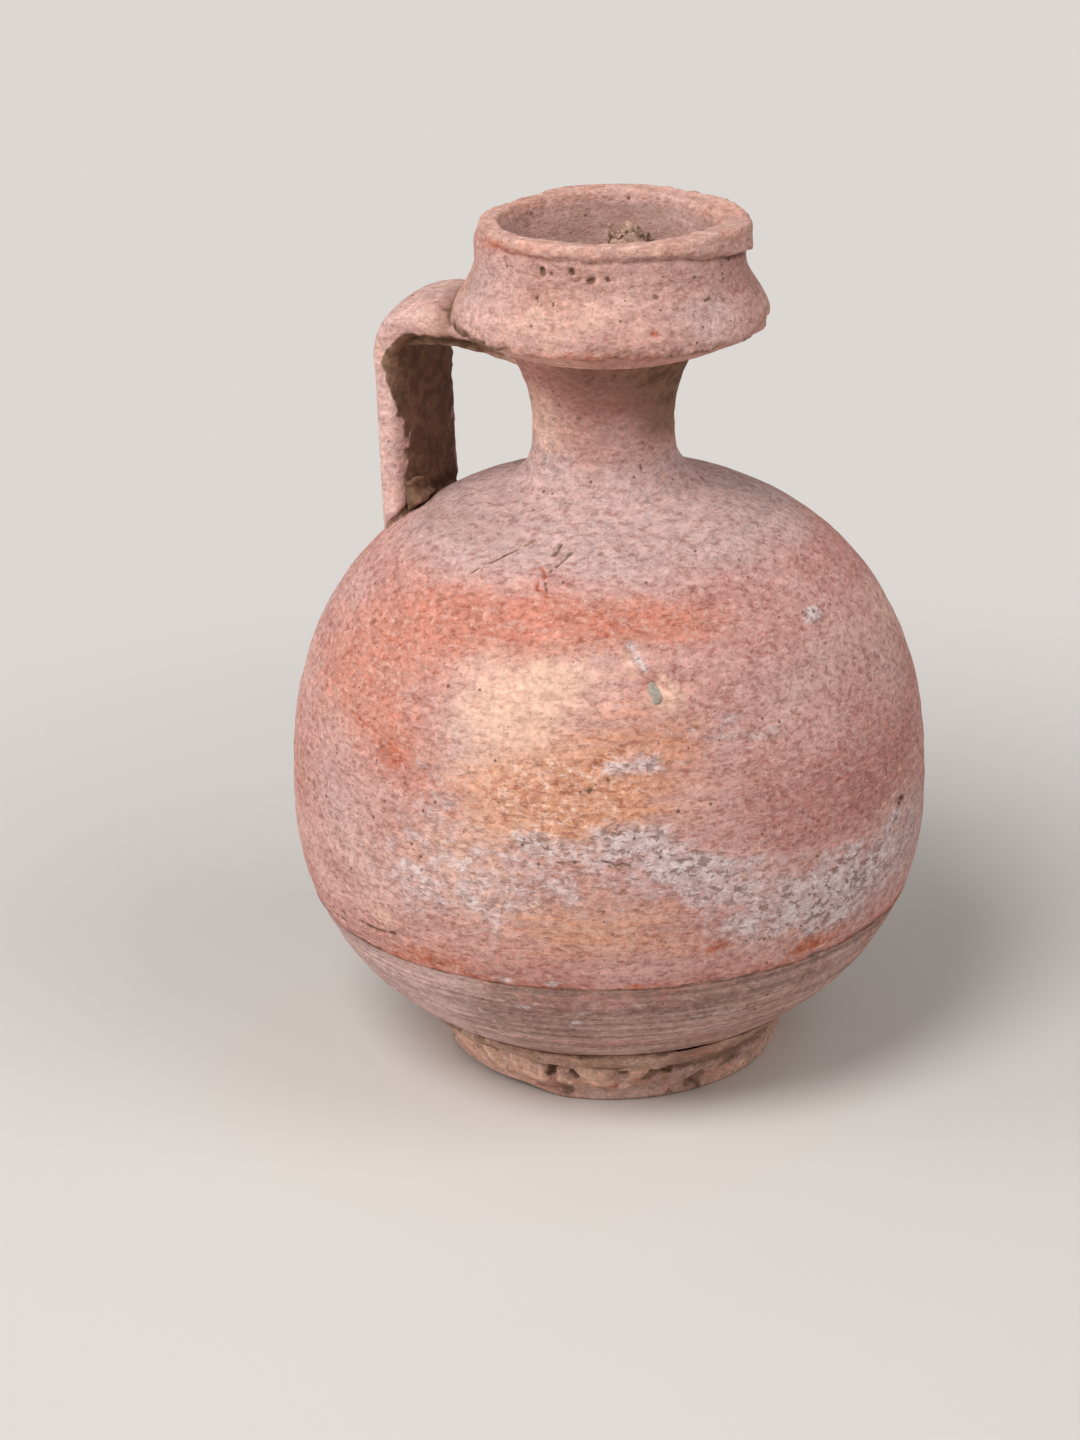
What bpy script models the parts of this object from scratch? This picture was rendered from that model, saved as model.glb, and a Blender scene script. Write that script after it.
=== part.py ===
"""A wheel-thrown terracotta jug: a round body on a ring foot, with a narrow neck,
a deep collared mouth and one strap handle.

The pieces are the ones that a potter makes apart and joins while the clay is damp.
Each joint is luted: the two clay faces lie one layer of slip apart, and the corners
that show are filled with a worked-in fillet or wad of soft clay.

Metres, +Z up. The origin is the middle of the foot on the table, and the handle is
on the -X side.
"""

import math

import bmesh
import bpy
from mathutils import Vector

# Turning and joints: faces round each thrown piece, the layer of slip, the least thin edge,
# how close corners merge, and the angle from which an edge is shaded sharp
SIDES = 48
SLIP = 0.0003
BLUNT_EDGE = 0.0005
MERGE_DISTANCE = 1e-6
SHARP_EDGE = math.radians(40)

# Round body as thrown: widest radius and its height, the rise to the crown, how full the curve is
BELLY_RADIUS = 0.0700
BELLY_HEIGHT = 0.0635
SHOULDER_RISE = 0.0698
FULLNESS = 2.3
BODY_WALL = 0.0060

# Lower bowl, turned thinner outside and joined to the upper body by a sloping scarf
SEAM_BELOW_BELLY = 0.0232
SCARF_RISE = 0.0030
TRIM_DEPTH = 0.0005
UNDERSIDE_HEIGHT = 0.0075
POLE_BELOW_UNDERSIDE = 0.0031
FLOOR_THICKNESS = 0.0065

# Ring foot, with a notch round its upper edge that holds the luting clay
FOOT_TOP_RADIUS = 0.0412
FOOT_TAPER = 0.0046
FOOT_REST_WIDTH = 0.0065
FOOT_INNER_SLOPE = 0.0015
FOOT_EDGE_ROUNDING = 0.0012
FOOT_NOTCH = 0.0024
FOOT_NOTCH_DEPTH = 0.0038
FOOT_LUTE_SWELL = 0.0009

# Neck, with a spigot that sits in the hole at the crown of the body
NECK_BORE_RADIUS = 0.0100
NECK_WALL = 0.0054
NECK_LENGTH = 0.0292
NECK_WAIST_HEIGHT = 0.0118
NECK_TOP_FLARE = 0.0054
NECK_FOOT_FLARE = 0.0008
NECK_LEDGE = 0.0032
NECK_LUTE_LEG = 0.0026

# Collared mouth, set a little off the body's axis, away from the handle
COLLAR_OFFSET = 0.0020
COLLAR_HEIGHT = 0.0269
COLLAR_SEAT_MARGIN = 0.0025
FLANGE_RADIUS = 0.0338
FLANGE_HEIGHT = 0.0040
FLANGE_EDGE = 0.0014
WAIST_INSET = 0.0052
WAIST_BELOW_LIP = 0.0085
LIP_OVERHANG = 0.0007
LIP_WIDTH = 0.0056
LIP_CROWN = 0.0022

# Strap handle, crowned outside and flat inside, and the wads of clay at its two ends
STRAP_WIDTH = 0.0286
STRAP_THICKNESS = 0.0090
STRAP_OUTER_SQUARENESS = 2.0
STRAP_INNER_SQUARENESS = 3.8
STRAP_SPREAD = 0.17
STRAP_SPREAD_POWER = 4
HANDLE_CLEARANCE = 0.0310
HANDLE_BEND = 0.0093
HANDLE_LEAN = 0.0014
HANDLE_BELOW_FLANGE = 0.0016
TOP_LUTE_WIDTH = 0.0220
TOP_LUTE_DEPTH = 0.0040
TOP_LUTE_SAG = 0.0010
ROOT_LUTE_WIDTH = 0.0260
ROOT_LUTE_RISE = 0.0060
ROOT_LUTE_LEG = 0.0036
ROOT_LUTE_HOLLOW = 0.30

# Fired clays: linear colour and roughness
PINK_CLAY = ((0.48, 0.25, 0.19), 0.90)
RED_CLAY = ((0.50, 0.22, 0.15), 0.88)
TRIMMED_CLAY = ((0.36, 0.23, 0.19), 0.92)
LUTING_CLAY = ((0.33, 0.22, 0.16), 0.95)

# Sizes that follow from the ones above
INNER_RADIUS = BELLY_RADIUS - BODY_WALL
INNER_RISE = SHOULDER_RISE - BODY_WALL
BOWL_RADIUS = BELLY_RADIUS - TRIM_DEPTH
BOWL_DROP = BELLY_HEIGHT - UNDERSIDE_HEIGHT + POLE_BELOW_UNDERSIDE
INNER_DROP = BELLY_HEIGHT - UNDERSIDE_HEIGHT - FLOOR_THICKNESS
NECK_RADIUS = NECK_BORE_RADIUS + NECK_WALL
HOLE_RADIUS = NECK_RADIUS - NECK_LEDGE
STRAP_REACH = NECK_RADIUS + HANDLE_CLEARANCE


# Shapes of the round body, shared by the pieces that sit on it

def round_height(radius, rise, at):
    """Height above the widest line of a full-bodied round, at the radius `at`."""
    return rise * (1 - (at / radius) ** FULLNESS) ** (1 / FULLNESS)


def round_arc(radius, rise, start, end, count):
    """(radius, height) points on a full-bodied round, from one height to another."""
    first = math.asin((start / rise) ** (FULLNESS / 2))
    last = math.asin((end / rise) ** (FULLNESS / 2))
    points = []
    for step in range(count + 1):
        turn = first + (last - first) * step / count
        out = radius * abs(math.cos(turn)) ** (2 / FULLNESS)
        up = rise * math.sin(turn) ** (2 / FULLNESS)
        points.append((out, up))
    return points


def above_belly(points):
    return [(out, BELLY_HEIGHT + up) for out, up in points]


def below_belly(points):
    return [(out, BELLY_HEIGHT - up) for out, up in points]


def shoulder_height(radius, grown=0.0):
    """Height of the shoulder at a radius, on a body grown outwards by `grown`."""
    return BELLY_HEIGHT + round_height(BELLY_RADIUS + grown, SHOULDER_RISE + grown, radius)


def bowl_height(radius, grown=0.0):
    """Height of the lower bowl's outside at a radius, no lower than its flat underside."""
    drop = round_height(BOWL_RADIUS + grown, BOWL_DROP + grown, radius)
    return max(BELLY_HEIGHT - drop, UNDERSIDE_HEIGHT - grown)


# Ways of working the clay

def clay(name, colour, roughness):
    material = bpy.data.materials.new(name)
    material.use_nodes = True
    shader = material.node_tree.nodes["Principled BSDF"]
    shader.inputs["Base Color"].default_value = (*colour, 1.0)
    shader.inputs["Roughness"].default_value = roughness
    shader.inputs["Metallic"].default_value = 0.0
    return material


def placed(name, bm, material, off_axis=0.0):
    """An object made from the bmesh, with its faces outwards and its rounds shaded smooth."""
    bmesh.ops.recalc_face_normals(bm, faces=bm.faces)
    mesh = bpy.data.meshes.new(name)
    bm.to_mesh(mesh)
    bm.free()
    mesh.shade_smooth()
    mesh.set_sharp_from_angle(angle=SHARP_EDGE)
    if material:
        mesh.materials.append(material)
    piece = bpy.data.objects.new(name, mesh)
    piece.location.x = off_axis
    bpy.context.scene.collection.objects.link(piece)
    return piece


def turned(name, outline, material, closed=True, off_axis=0.0):
    """A piece thrown on the wheel: an outline of (radius, height) points spun about +Z.
    An outline that isn't closed starts and ends on the axis."""
    bm = bmesh.new()
    corners = [bm.verts.new((out, 0.0, up)) for out, up in outline]
    edges = [bm.edges.new(pair) for pair in zip(corners, corners[1:])]
    if closed:
        edges.append(bm.edges.new((corners[-1], corners[0])))
    bmesh.ops.spin(
        bm,
        geom=corners + edges,
        axis=(0, 0, 1),
        cent=(0, 0, 0),
        angle=2 * math.pi,
        steps=SIDES,
        use_merge=True,
    )
    bmesh.ops.remove_doubles(bm, verts=bm.verts, dist=MERGE_DISTANCE)
    return placed(name, bm, material, off_axis)


def slab(name, outline, width, material):
    """A piece cut from a slab: an outline of (x, z) points pushed out to both sides of y = 0."""
    bm = bmesh.new()
    face = bm.faces.new([bm.verts.new((across, -width / 2, up)) for across, up in outline])
    pushed = bmesh.ops.extrude_face_region(bm, geom=[face])
    moved = [item for item in pushed["geom"] if isinstance(item, bmesh.types.BMVert)]
    bmesh.ops.translate(bm, verts=moved, vec=(0, width, 0))
    return placed(name, bm, material)


def as_cutter(piece):
    piece.hide_render = True
    piece.display_type = "WIRE"
    return piece


def cut(piece, *cutters):
    for cutter in cutters:
        modifier = piece.modifiers.new("cut_to_" + cutter.name, "BOOLEAN")
        modifier.operation = "DIFFERENCE"
        modifier.object = cutter


# Round body: the lower bowl and the upper body that is joined on to it

def make_base_bowl(material):
    flat_drop = BELLY_HEIGHT - UNDERSIDE_HEIGHT
    outside = below_belly(round_arc(BOWL_RADIUS, BOWL_DROP, flat_drop, SEAM_BELOW_BELLY, count=9))
    inner_seam = SEAM_BELOW_BELLY - SCARF_RISE
    inside = below_belly(round_arc(INNER_RADIUS, INNER_DROP, inner_seam, INNER_DROP, count=9))
    floor = inside.pop()[1]
    outline = [(0.0, UNDERSIDE_HEIGHT)] + outside + inside + [(0.0, floor)]
    return turned("base_bowl", outline, material, closed=False)


def make_upper_body(material):
    seam = SEAM_BELOW_BELLY - SLIP
    hole_outside = round_height(BELLY_RADIUS, SHOULDER_RISE, HOLE_RADIUS)
    hole_inside = round_height(INNER_RADIUS, INNER_RISE, HOLE_RADIUS)
    outline = below_belly(round_arc(BELLY_RADIUS, BOWL_DROP, seam, 0.0, count=5))
    outline += above_belly(round_arc(BELLY_RADIUS, SHOULDER_RISE, 0.0, hole_outside, count=14))[1:]
    outline += above_belly(round_arc(INNER_RADIUS, INNER_RISE, hole_inside, 0.0, count=11))
    outline += below_belly(round_arc(INNER_RADIUS, INNER_DROP, 0.0, seam - SCARF_RISE, count=4))[1:]
    return turned("upper_body", outline, material)


def body_room():
    """The whole body as one solid round, a layer of slip larger."""
    radius = BELLY_RADIUS + SLIP
    rise = SHOULDER_RISE + SLIP
    drop = BOWL_DROP + SLIP
    below = below_belly(round_arc(radius, drop, drop, 0.0, count=8))
    above = above_belly(round_arc(radius, rise, 0.0, rise, count=24))
    outline = [(0.0, below[0][1])] + below[1:] + above[1:-1] + [(0.0, above[-1][1])]
    return as_cutter(turned("body_room", outline, None, closed=False))


# Ring foot

def foot_outer_radius(height):
    """Outside of the tapering ring at a height above the table."""
    return FOOT_TOP_RADIUS - FOOT_TAPER * (1 - height / bowl_height(FOOT_TOP_RADIUS))


def foot_notch_bottom():
    return bowl_height(FOOT_TOP_RADIUS) - FOOT_NOTCH_DEPTH


def make_foot_ring(material):
    rest_outer = foot_outer_radius(0.0) - FOOT_EDGE_ROUNDING
    rest_inner = rest_outer - FOOT_REST_WIDTH
    seat_inner = rest_inner - FOOT_INNER_SLOPE
    seat_outer = FOOT_TOP_RADIUS - FOOT_NOTCH
    outline = []
    steps = 5
    for step in range(steps + 1):
        radius = seat_inner + (seat_outer - seat_inner) * step / steps
        outline.append((radius, bowl_height(radius, SLIP)))
    outline.append((foot_outer_radius(foot_notch_bottom()), foot_notch_bottom()))
    for degrees in (0, 30, 60, 90):
        turn = math.radians(degrees)
        out = foot_outer_radius(FOOT_EDGE_ROUNDING) - FOOT_EDGE_ROUNDING * (1 - math.cos(turn))
        outline.append((out, FOOT_EDGE_ROUNDING * (1 - math.sin(turn))))
    outline.append((rest_inner, 0.0))
    return turned("foot_ring", outline, material)


def make_foot_lute(material):
    """The clay pressed into the notch and smoothed up on to the bowl."""
    inner = FOOT_TOP_RADIUS - FOOT_NOTCH + SLIP
    outer = FOOT_TOP_RADIUS + FOOT_NOTCH
    low = foot_notch_bottom()
    outline = [(radius, bowl_height(radius, SLIP)) for radius in (inner, FOOT_TOP_RADIUS, outer)]
    outline.append((outer, bowl_height(outer, SLIP) - BLUNT_EDGE))
    outline.append((FOOT_TOP_RADIUS + FOOT_LUTE_SWELL, low + FOOT_NOTCH_DEPTH / 2))
    outline.append((foot_outer_radius(low) + SLIP + BLUNT_EDGE, low))
    outline.append((foot_outer_radius(low) + SLIP, low))
    return turned("foot_lute", outline, material)


# Neck

def neck_foot_height():
    """Where the outside of the neck meets the shoulder."""
    return shoulder_height(NECK_RADIUS + NECK_FOOT_FLARE, SLIP)


def neck_top_height():
    return neck_foot_height() + NECK_LENGTH


def neck_radius(height):
    """Outside of the neck: it swells a little from its waist to its foot and more to its top."""
    waist = neck_foot_height() + NECK_WAIST_HEIGHT
    if height < waist:
        share = (waist - height) / NECK_WAIST_HEIGHT
        return NECK_RADIUS + NECK_FOOT_FLARE * share ** 2
    share = (height - waist) / (NECK_LENGTH - NECK_WAIST_HEIGHT)
    return NECK_RADIUS + NECK_TOP_FLARE * share ** 2


def neck_side(grown=0.0):
    """The neck's outside from top to bottom, grown outwards by `grown`."""
    steps = 10
    heights = [neck_top_height() - NECK_LENGTH * step / steps for step in range(steps + 1)]
    return [(neck_radius(height) + grown, height) for height in heights]


def make_neck(material):
    spigot_radius = HOLE_RADIUS - SLIP
    spigot_end = BELLY_HEIGHT + round_height(INNER_RADIUS, INNER_RISE, HOLE_RADIUS)
    outline = neck_side()
    outline.append((spigot_radius, shoulder_height(spigot_radius, SLIP)))
    outline.append((spigot_radius, spigot_end))
    outline.append((NECK_BORE_RADIUS, spigot_end))
    outline.append((NECK_BORE_RADIUS, neck_top_height()))
    return turned("neck", outline, material)


def make_neck_lute(material):
    """The fillet of clay worked into the corner round the foot of the neck."""
    inner = NECK_RADIUS + NECK_FOOT_FLARE + SLIP
    outline = []
    steps = 5
    for step in range(steps + 1):
        turn = math.pi / 2 * step / steps
        out = inner + BLUNT_EDGE + NECK_LUTE_LEG * (1 - math.cos(turn))
        up = shoulder_height(out, SLIP) + BLUNT_EDGE + NECK_LUTE_LEG * (1 - math.sin(turn))
        outline.append((out, up))
    outer = outline[-1][0]
    outline.append((outer, shoulder_height(outer, SLIP)))
    outline.append((inner, shoulder_height(inner, SLIP)))
    outline.append((inner, outline[0][1]))
    return turned("neck_lute", outline, material)


def neck_room():
    """The neck as a solid post, a layer of slip larger."""
    side = neck_side(SLIP)
    top = side[0][1] + SLIP
    outline = [(0.0, top), (side[0][0], top)] + side + [(0.0, side[-1][1])]
    return as_cutter(turned("neck_room", outline, None, closed=False))


# Collared mouth

def collar_seat():
    """Height of the collar's flat seat on the top of the neck."""
    return neck_top_height() + SLIP


def flange_middle():
    """Height of the flange where it is widest."""
    return collar_seat() + FLANGE_HEIGHT + FLANGE_EDGE


def waist_radius():
    return FLANGE_RADIUS - WAIST_INSET


def lip_arc(start, end, grown=0.0):
    """The rounded lip, from one angle to another, in steps of 30 degrees from its outer side."""
    middle = waist_radius() + LIP_OVERHANG - LIP_WIDTH / 2
    spring = collar_seat() + COLLAR_HEIGHT - LIP_CROWN
    points = []
    for degrees in range(start, end + 1, 30):
        turn = math.radians(degrees)
        out = middle + (LIP_WIDTH / 2 + grown) * math.cos(turn)
        points.append((out, spring + (LIP_CROWN + grown) * math.sin(turn)))
    return points


def collar_outside(grown=0.0):
    """The collar's outside from the edge of its seat, round the flange and up to the lip's crown."""
    seat_radius = NECK_RADIUS + NECK_TOP_FLARE + COLLAR_SEAT_MARGIN
    points = [(seat_radius, collar_seat() - grown)]
    for degrees in (-75, -40, 0):
        turn = math.radians(degrees)
        out = FLANGE_RADIUS - FLANGE_EDGE + (FLANGE_EDGE + grown) * math.cos(turn)
        points.append((out, flange_middle() + (FLANGE_EDGE + grown) * math.sin(turn)))
    band = collar_seat() + COLLAR_HEIGHT - WAIST_BELOW_LIP - flange_middle()
    steps = 6
    for step in range(1, steps + 1):
        share = step / steps
        out = waist_radius() + WAIST_INSET * (1 + math.cos(math.pi * share)) / 2
        points.append((out + grown, flange_middle() + band * share))
    return points + lip_arc(0, 90, grown)


def collar_inside():
    """The collar's inside from just past the lip's crown, down the cup to the bore."""
    points = lip_arc(120, 180)
    mouth, spring = points[-1]
    bore = NECK_BORE_RADIUS + COLLAR_OFFSET
    steps = 6
    for step in range(1, steps + 1):
        share = 1 - step / steps
        up = collar_seat() + (spring - collar_seat()) * share ** 2
        points.append((bore + (mouth - bore) * share, up))
    return points


def make_collar(material):
    return turned("collar", collar_outside() + collar_inside(), material, off_axis=COLLAR_OFFSET)


def collar_room():
    """The collar as a solid knob, a layer of slip larger."""
    outside = collar_outside(SLIP)
    outline = [(0.0, outside[0][1])] + outside[:-1] + [(0.0, outside[-1][1])]
    return as_cutter(turned("collar_room", outline, None, closed=False, off_axis=COLLAR_OFFSET))


# Strap handle

def strap_top():
    """Height of the strap's middle line where it leaves the collar."""
    return flange_middle() - HANDLE_BELOW_FLANGE


def strap_bend():
    """Middle line of the strap from inside the collar's wall to the end of the bend,
    as (point, direction) pairs in the y = 0 plane."""
    start = COLLAR_OFFSET - waist_radius() + LIP_WIDTH / 2
    line = [(Vector((start, 0, strap_top())), Vector((-1, 0, 0)))]
    steps = 8
    for step in range(steps + 1):
        turn = math.pi / 2 * step / steps
        across = HANDLE_BEND - STRAP_REACH - HANDLE_BEND * math.sin(turn)
        up = strap_top() - HANDLE_BEND * (1 - math.cos(turn))
        line.append((Vector((across, 0, up)), Vector((-math.cos(turn), 0, -math.sin(turn)))))
    return line


def strap_line():
    """The whole middle line: the bend, and the hanging part down into the body's wall."""
    line = strap_bend()
    bend_end = line[-1][0]
    root_height = shoulder_height(STRAP_REACH + STRAP_THICKNESS) - BODY_WALL / 2
    root = Vector((HANDLE_LEAN - STRAP_REACH, 0, root_height))
    steps = 6
    for step in range(1, steps + 1):
        line.append((bend_end.lerp(root, step / steps), (root - bend_end).normalized()))
    return line


def squared(value, squareness):
    """A sine or cosine with its crest flattened: 2 keeps it round and more is squarer."""
    return math.copysign(abs(value) ** (2 / squareness), value)


def make_strap(name, material, grown=0.0):
    """A flat strap that spreads towards both of its joints, lofted along its middle line."""
    corners = 20
    line = strap_line()
    sideways = Vector((0, 1, 0))
    bm = bmesh.new()
    rings = []
    for index, (point, along) in enumerate(line):
        ends = abs(2 * index / (len(line) - 1) - 1) ** STRAP_SPREAD_POWER
        half_width = STRAP_WIDTH / 2 * (1 + STRAP_SPREAD * ends) + grown
        half_thickness = STRAP_THICKNESS / 2 + grown
        outward = sideways.cross(along)
        ring = []
        for corner in range(corners):
            turn = 2 * math.pi * (corner + 0.5) / corners
            outside = corner < corners / 2
            squareness = STRAP_OUTER_SQUARENESS if outside else STRAP_INNER_SQUARENESS
            across = sideways * half_width * squared(math.cos(turn), squareness)
            through = outward * half_thickness * squared(math.sin(turn), squareness)
            ring.append(bm.verts.new(point + across + through))
        rings.append(ring)
    edges = []
    for ring in rings:
        edges += [bm.edges.new(pair) for pair in zip(ring, ring[1:] + ring[:1])]
    bmesh.ops.bridge_loops(bm, edges=edges)
    bm.faces.new(rings[0])
    bm.faces.new(rings[-1])
    return placed(name, bm, material)


def make_handle_top_lute(material):
    """The wad of clay pressed up under the strap, against the collar's underside and the neck.
    It reaches the strap's middle line here, and is then cut back to the strap's face."""
    low = collar_seat() - TOP_LUTE_DEPTH
    upper = [(point.x, point.z) for point, along in strap_bend() if point.z > low]
    strap_side = upper[-1][0]
    outline = [(-NECK_RADIUS, strap_top())] + upper
    steps = 6
    for step in range(steps + 1):
        share = step / steps
        across = strap_side + (-NECK_RADIUS - strap_side) * share
        outline.append((across, low - TOP_LUTE_SAG * math.cos(2 * math.pi * share)))
    return slab("handle_top_lute", outline, TOP_LUTE_WIDTH, material)


def make_handle_root_lute(material):
    """The wad of clay pressed into the corner between the strap's inner face and the shoulder:
    a slope, hollowed towards the corner, from the strap down to the shoulder. It reaches into
    both of them here, and is then cut back to their faces."""
    face = STRAP_REACH - HANDLE_LEAN - STRAP_THICKNESS / 2
    inside_strap = -(face + STRAP_THICKNESS / 4)
    low = shoulder_height(face) - ROOT_LUTE_LEG
    foot_radius = face - ROOT_LUTE_LEG
    corner = Vector((SLIP + BLUNT_EDGE - face, shoulder_height(face, SLIP + BLUNT_EDGE)))
    top = corner + Vector((0, ROOT_LUTE_RISE))
    foot = Vector((-foot_radius, shoulder_height(foot_radius, SLIP + BLUNT_EDGE)))
    outline = [(inside_strap, low), (inside_strap, top.y)]
    steps = 6
    for step in range(steps + 1):
        share = step / steps
        sag = 4 * ROOT_LUTE_HOLLOW * share * (1 - share)
        outline.append(top.lerp(foot, share).lerp(corner, sag))
    outline.append((foot.x, low))
    return slab("handle_root_lute", outline, ROOT_LUTE_WIDTH, material)


for leftover in list(bpy.data.objects):
    bpy.data.objects.remove(leftover, do_unlink=True)

pink_clay = clay("pink_fired_clay", *PINK_CLAY)
red_clay = clay("red_fired_clay", *RED_CLAY)
trimmed_clay = clay("trimmed_fired_clay", *TRIMMED_CLAY)
luting_clay = clay("luting_clay", *LUTING_CLAY)

make_foot_ring(trimmed_clay)
make_foot_lute(luting_clay)
make_base_bowl(trimmed_clay)
make_upper_body(red_clay)
make_neck(pink_clay)
make_neck_lute(pink_clay)
make_collar(pink_clay)
handle_strap = make_strap("handle_strap", pink_clay)
handle_top_lute = make_handle_top_lute(luting_clay)
handle_root_lute = make_handle_root_lute(luting_clay)

body = body_room()
neck = neck_room()
collar = collar_room()
strap = as_cutter(make_strap("strap_room", None, grown=SLIP))
cut(handle_strap, body, collar)
cut(handle_top_lute, neck, collar, strap)
cut(handle_root_lute, body, strap)
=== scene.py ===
"""The looks of a weathered terracotta jug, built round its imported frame.

Lengths are millimetres while a piece is shaped, and are scaled to metres when it is finished.
A place on the jug is given as (turn, height): turn is in degrees from the side that faces the
camera and grows to the right.
"""

import math

import bmesh
import bpy
import numpy as np
from mathutils import Matrix, Vector, noise


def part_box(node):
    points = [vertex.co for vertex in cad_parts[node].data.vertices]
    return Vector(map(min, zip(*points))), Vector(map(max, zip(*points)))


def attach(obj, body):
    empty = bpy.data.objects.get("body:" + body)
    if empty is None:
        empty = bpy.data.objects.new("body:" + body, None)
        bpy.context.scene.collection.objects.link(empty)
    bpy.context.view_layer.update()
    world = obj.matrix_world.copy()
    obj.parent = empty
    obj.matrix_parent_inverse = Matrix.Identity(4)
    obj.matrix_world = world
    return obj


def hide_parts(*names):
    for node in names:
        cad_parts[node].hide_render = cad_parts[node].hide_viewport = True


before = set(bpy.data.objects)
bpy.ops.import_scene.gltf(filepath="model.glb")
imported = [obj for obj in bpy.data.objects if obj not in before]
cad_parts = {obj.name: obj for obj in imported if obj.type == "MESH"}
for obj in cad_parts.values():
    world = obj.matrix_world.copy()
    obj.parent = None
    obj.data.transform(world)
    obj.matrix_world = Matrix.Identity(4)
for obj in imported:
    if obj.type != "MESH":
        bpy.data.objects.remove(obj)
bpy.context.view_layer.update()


# Round body, upper part
# Thrown on the wheel from coarse red clay, full and round, with walls of about 6 mm. It is cut
# off below the belly, where the lower bowl is luted on, and has a hole at its crown for the neck.

belly_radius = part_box("upper_body")[1].x * 1000
belly_height = 63.5
shoulder_rise = 69.8
bowl_drop = 59.1
fullness = 2.3
body_wall = 6.0
seam_height = 40.3
scarf_lap = 3.0
neck_hole = 12.2
camera_side = -65.0
outer_spacing = 0.74
hidden_spacing = 14.0
mark_reach = 1.6


def round_arc(radius, rise, start, end, spacing):
    """(radius, height) points on a full-bodied round between two heights, evenly spaced."""
    first = math.asin((start / rise) ** (fullness / 2))
    last = math.asin((end / rise) ** (fullness / 2))
    turns = np.linspace(first, last, 400)
    out = radius * np.abs(np.cos(turns)) ** (2 / fullness)
    up = rise * np.sin(turns) ** (2 / fullness)
    return evenly(np.stack([out, up], axis=1), spacing)


def evenly(line, spacing):
    """The same line with its points about `spacing` apart."""
    line = np.asarray(line, float)
    along = np.concatenate([[0.0], np.cumsum(np.linalg.norm(np.diff(line, axis=0), axis=1))])
    stops = np.linspace(0.0, along[-1], max(2, round(along[-1] / spacing) + 1))
    return np.stack([np.interp(stops, along, column) for column in line.T], axis=1)


def raised(line, height, sign=1):
    return line * (1, sign) + (0, height)


def shoulder_height(radius):
    share = 1 - (np.minimum(radius, belly_radius) / belly_radius) ** fullness
    return belly_height + shoulder_rise * share ** (1 / fullness)


def body_radius(height):
    rise = shoulder_rise if height > belly_height else bowl_drop
    share = min(abs(height - belly_height) / rise, 1.0)
    return belly_radius * (1 - share ** fullness) ** (1 / fullness)


def spun(outline, sides, closed=True):
    """A bmesh of an outline of (radius, height) points thrown round the jug's axis. It is spun in
    a quarter of the steps, and the long edges are then split and rounded out, which is quicker."""
    steps = sides // 4
    bm = bmesh.new()
    corners = [bm.verts.new((out, 0.0, up)) for out, up in outline]
    edges = [bm.edges.new(pair) for pair in zip(corners, corners[1:])]
    if closed:
        edges.append(bm.edges.new((corners[-1], corners[0])))
    bmesh.ops.spin(
        bm,
        geom=corners + edges,
        axis=(0, 0, 1),
        cent=(0, 0, 0),
        angle=2 * math.pi,
        steps=steps,
        use_merge=True,
    )
    bmesh.ops.remove_doubles(bm, verts=bm.verts, dist=0.001)
    level = [edge for edge in bm.edges if abs(edge.verts[0].co.z - edge.verts[1].co.z) < 0.002
             and abs(edge.verts[0].co.xy.length - edge.verts[1].co.xy.length) < 0.02]
    bmesh.ops.subdivide_edges(bm, edges=level, cuts=3, use_grid_fill=True)
    step = 2 * math.pi / steps
    for corner in bm.verts:
        off = math.atan2(corner.co.y, corner.co.x) % step - step / 2
        corner.co.xy *= math.cos(off) / math.cos(step / 2)
    return bm


def meshed(name, bm):
    """The bmesh as a mesh with its faces outwards, and its points and normals to work on."""
    bmesh.ops.recalc_face_normals(bm, faces=bm.faces)
    mesh = bpy.data.meshes.new(name)
    bm.to_mesh(mesh)
    bm.free()
    points = np.empty(len(mesh.vertices) * 3)
    normals = np.empty(len(mesh.vertices) * 3)
    mesh.vertices.foreach_get("co", points)
    mesh.vertex_normals.foreach_get("vector", normals)
    return mesh, points.reshape(-1, 3), normals.reshape(-1, 3)


def seen(points):
    """Each point's turn from the camera's side, distance from the axis and height."""
    turn = np.degrees(np.arctan2(points[:, 1], points[:, 0])) - camera_side
    return (turn + 180) % 360 - 180, np.hypot(points[:, 0], points[:, 1]), points[:, 2]


def outer_wall(points, normals):
    """Which points are on the body's outside."""
    return (normals * (points - (0, 0, belly_height))).sum(axis=1) > 0


def facing_out(points, normals, low, high):
    """0 to 1 as a wall turns from the jug's axis to look out from it."""
    outward = normals[:, 0] * points[:, 0] + normals[:, 1] * points[:, 1]
    return rise_between(outward, low, high)


def spot(turn, radius, height):
    """The point at a place on the jug."""
    angle = np.radians(np.asarray(turn) + camera_side)
    return np.stack([radius * np.cos(angle), radius * np.sin(angle), height + 0 * angle], axis=-1)


def clouds(points, size, seed):
    """Smooth noise from -1 to 1 at each point, in lumps about `size` across."""
    shifted = points / np.asarray(size) + seed * 7.31
    return np.array([noise.noise(point) for point in shifted.tolist()])


def uneven(points, *lumps):
    """The sum of several clouds, each given by its height, size and seed."""
    return sum(height * clouds(points, size, seed) for height, size, seed in lumps)


def rise_between(values, low, high):
    """0 below `low`, 1 above `high` and a smooth rise between them."""
    share = np.clip((values - low) / (high - low), 0, 1)
    return share * share * (3 - 2 * share)


def between(values, start, full, fading, gone):
    """0, a smooth rise to 1 from `start` to `full`, and back to 0 from `fading` to `gone`."""
    return rise_between(values, start, full) * (1 - rise_between(values, fading, gone))


def bell(away, width):
    """1 where `away` is 0, and a smooth fall over about `width` to each side."""
    return np.exp(-((away / width) ** 2))


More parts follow.
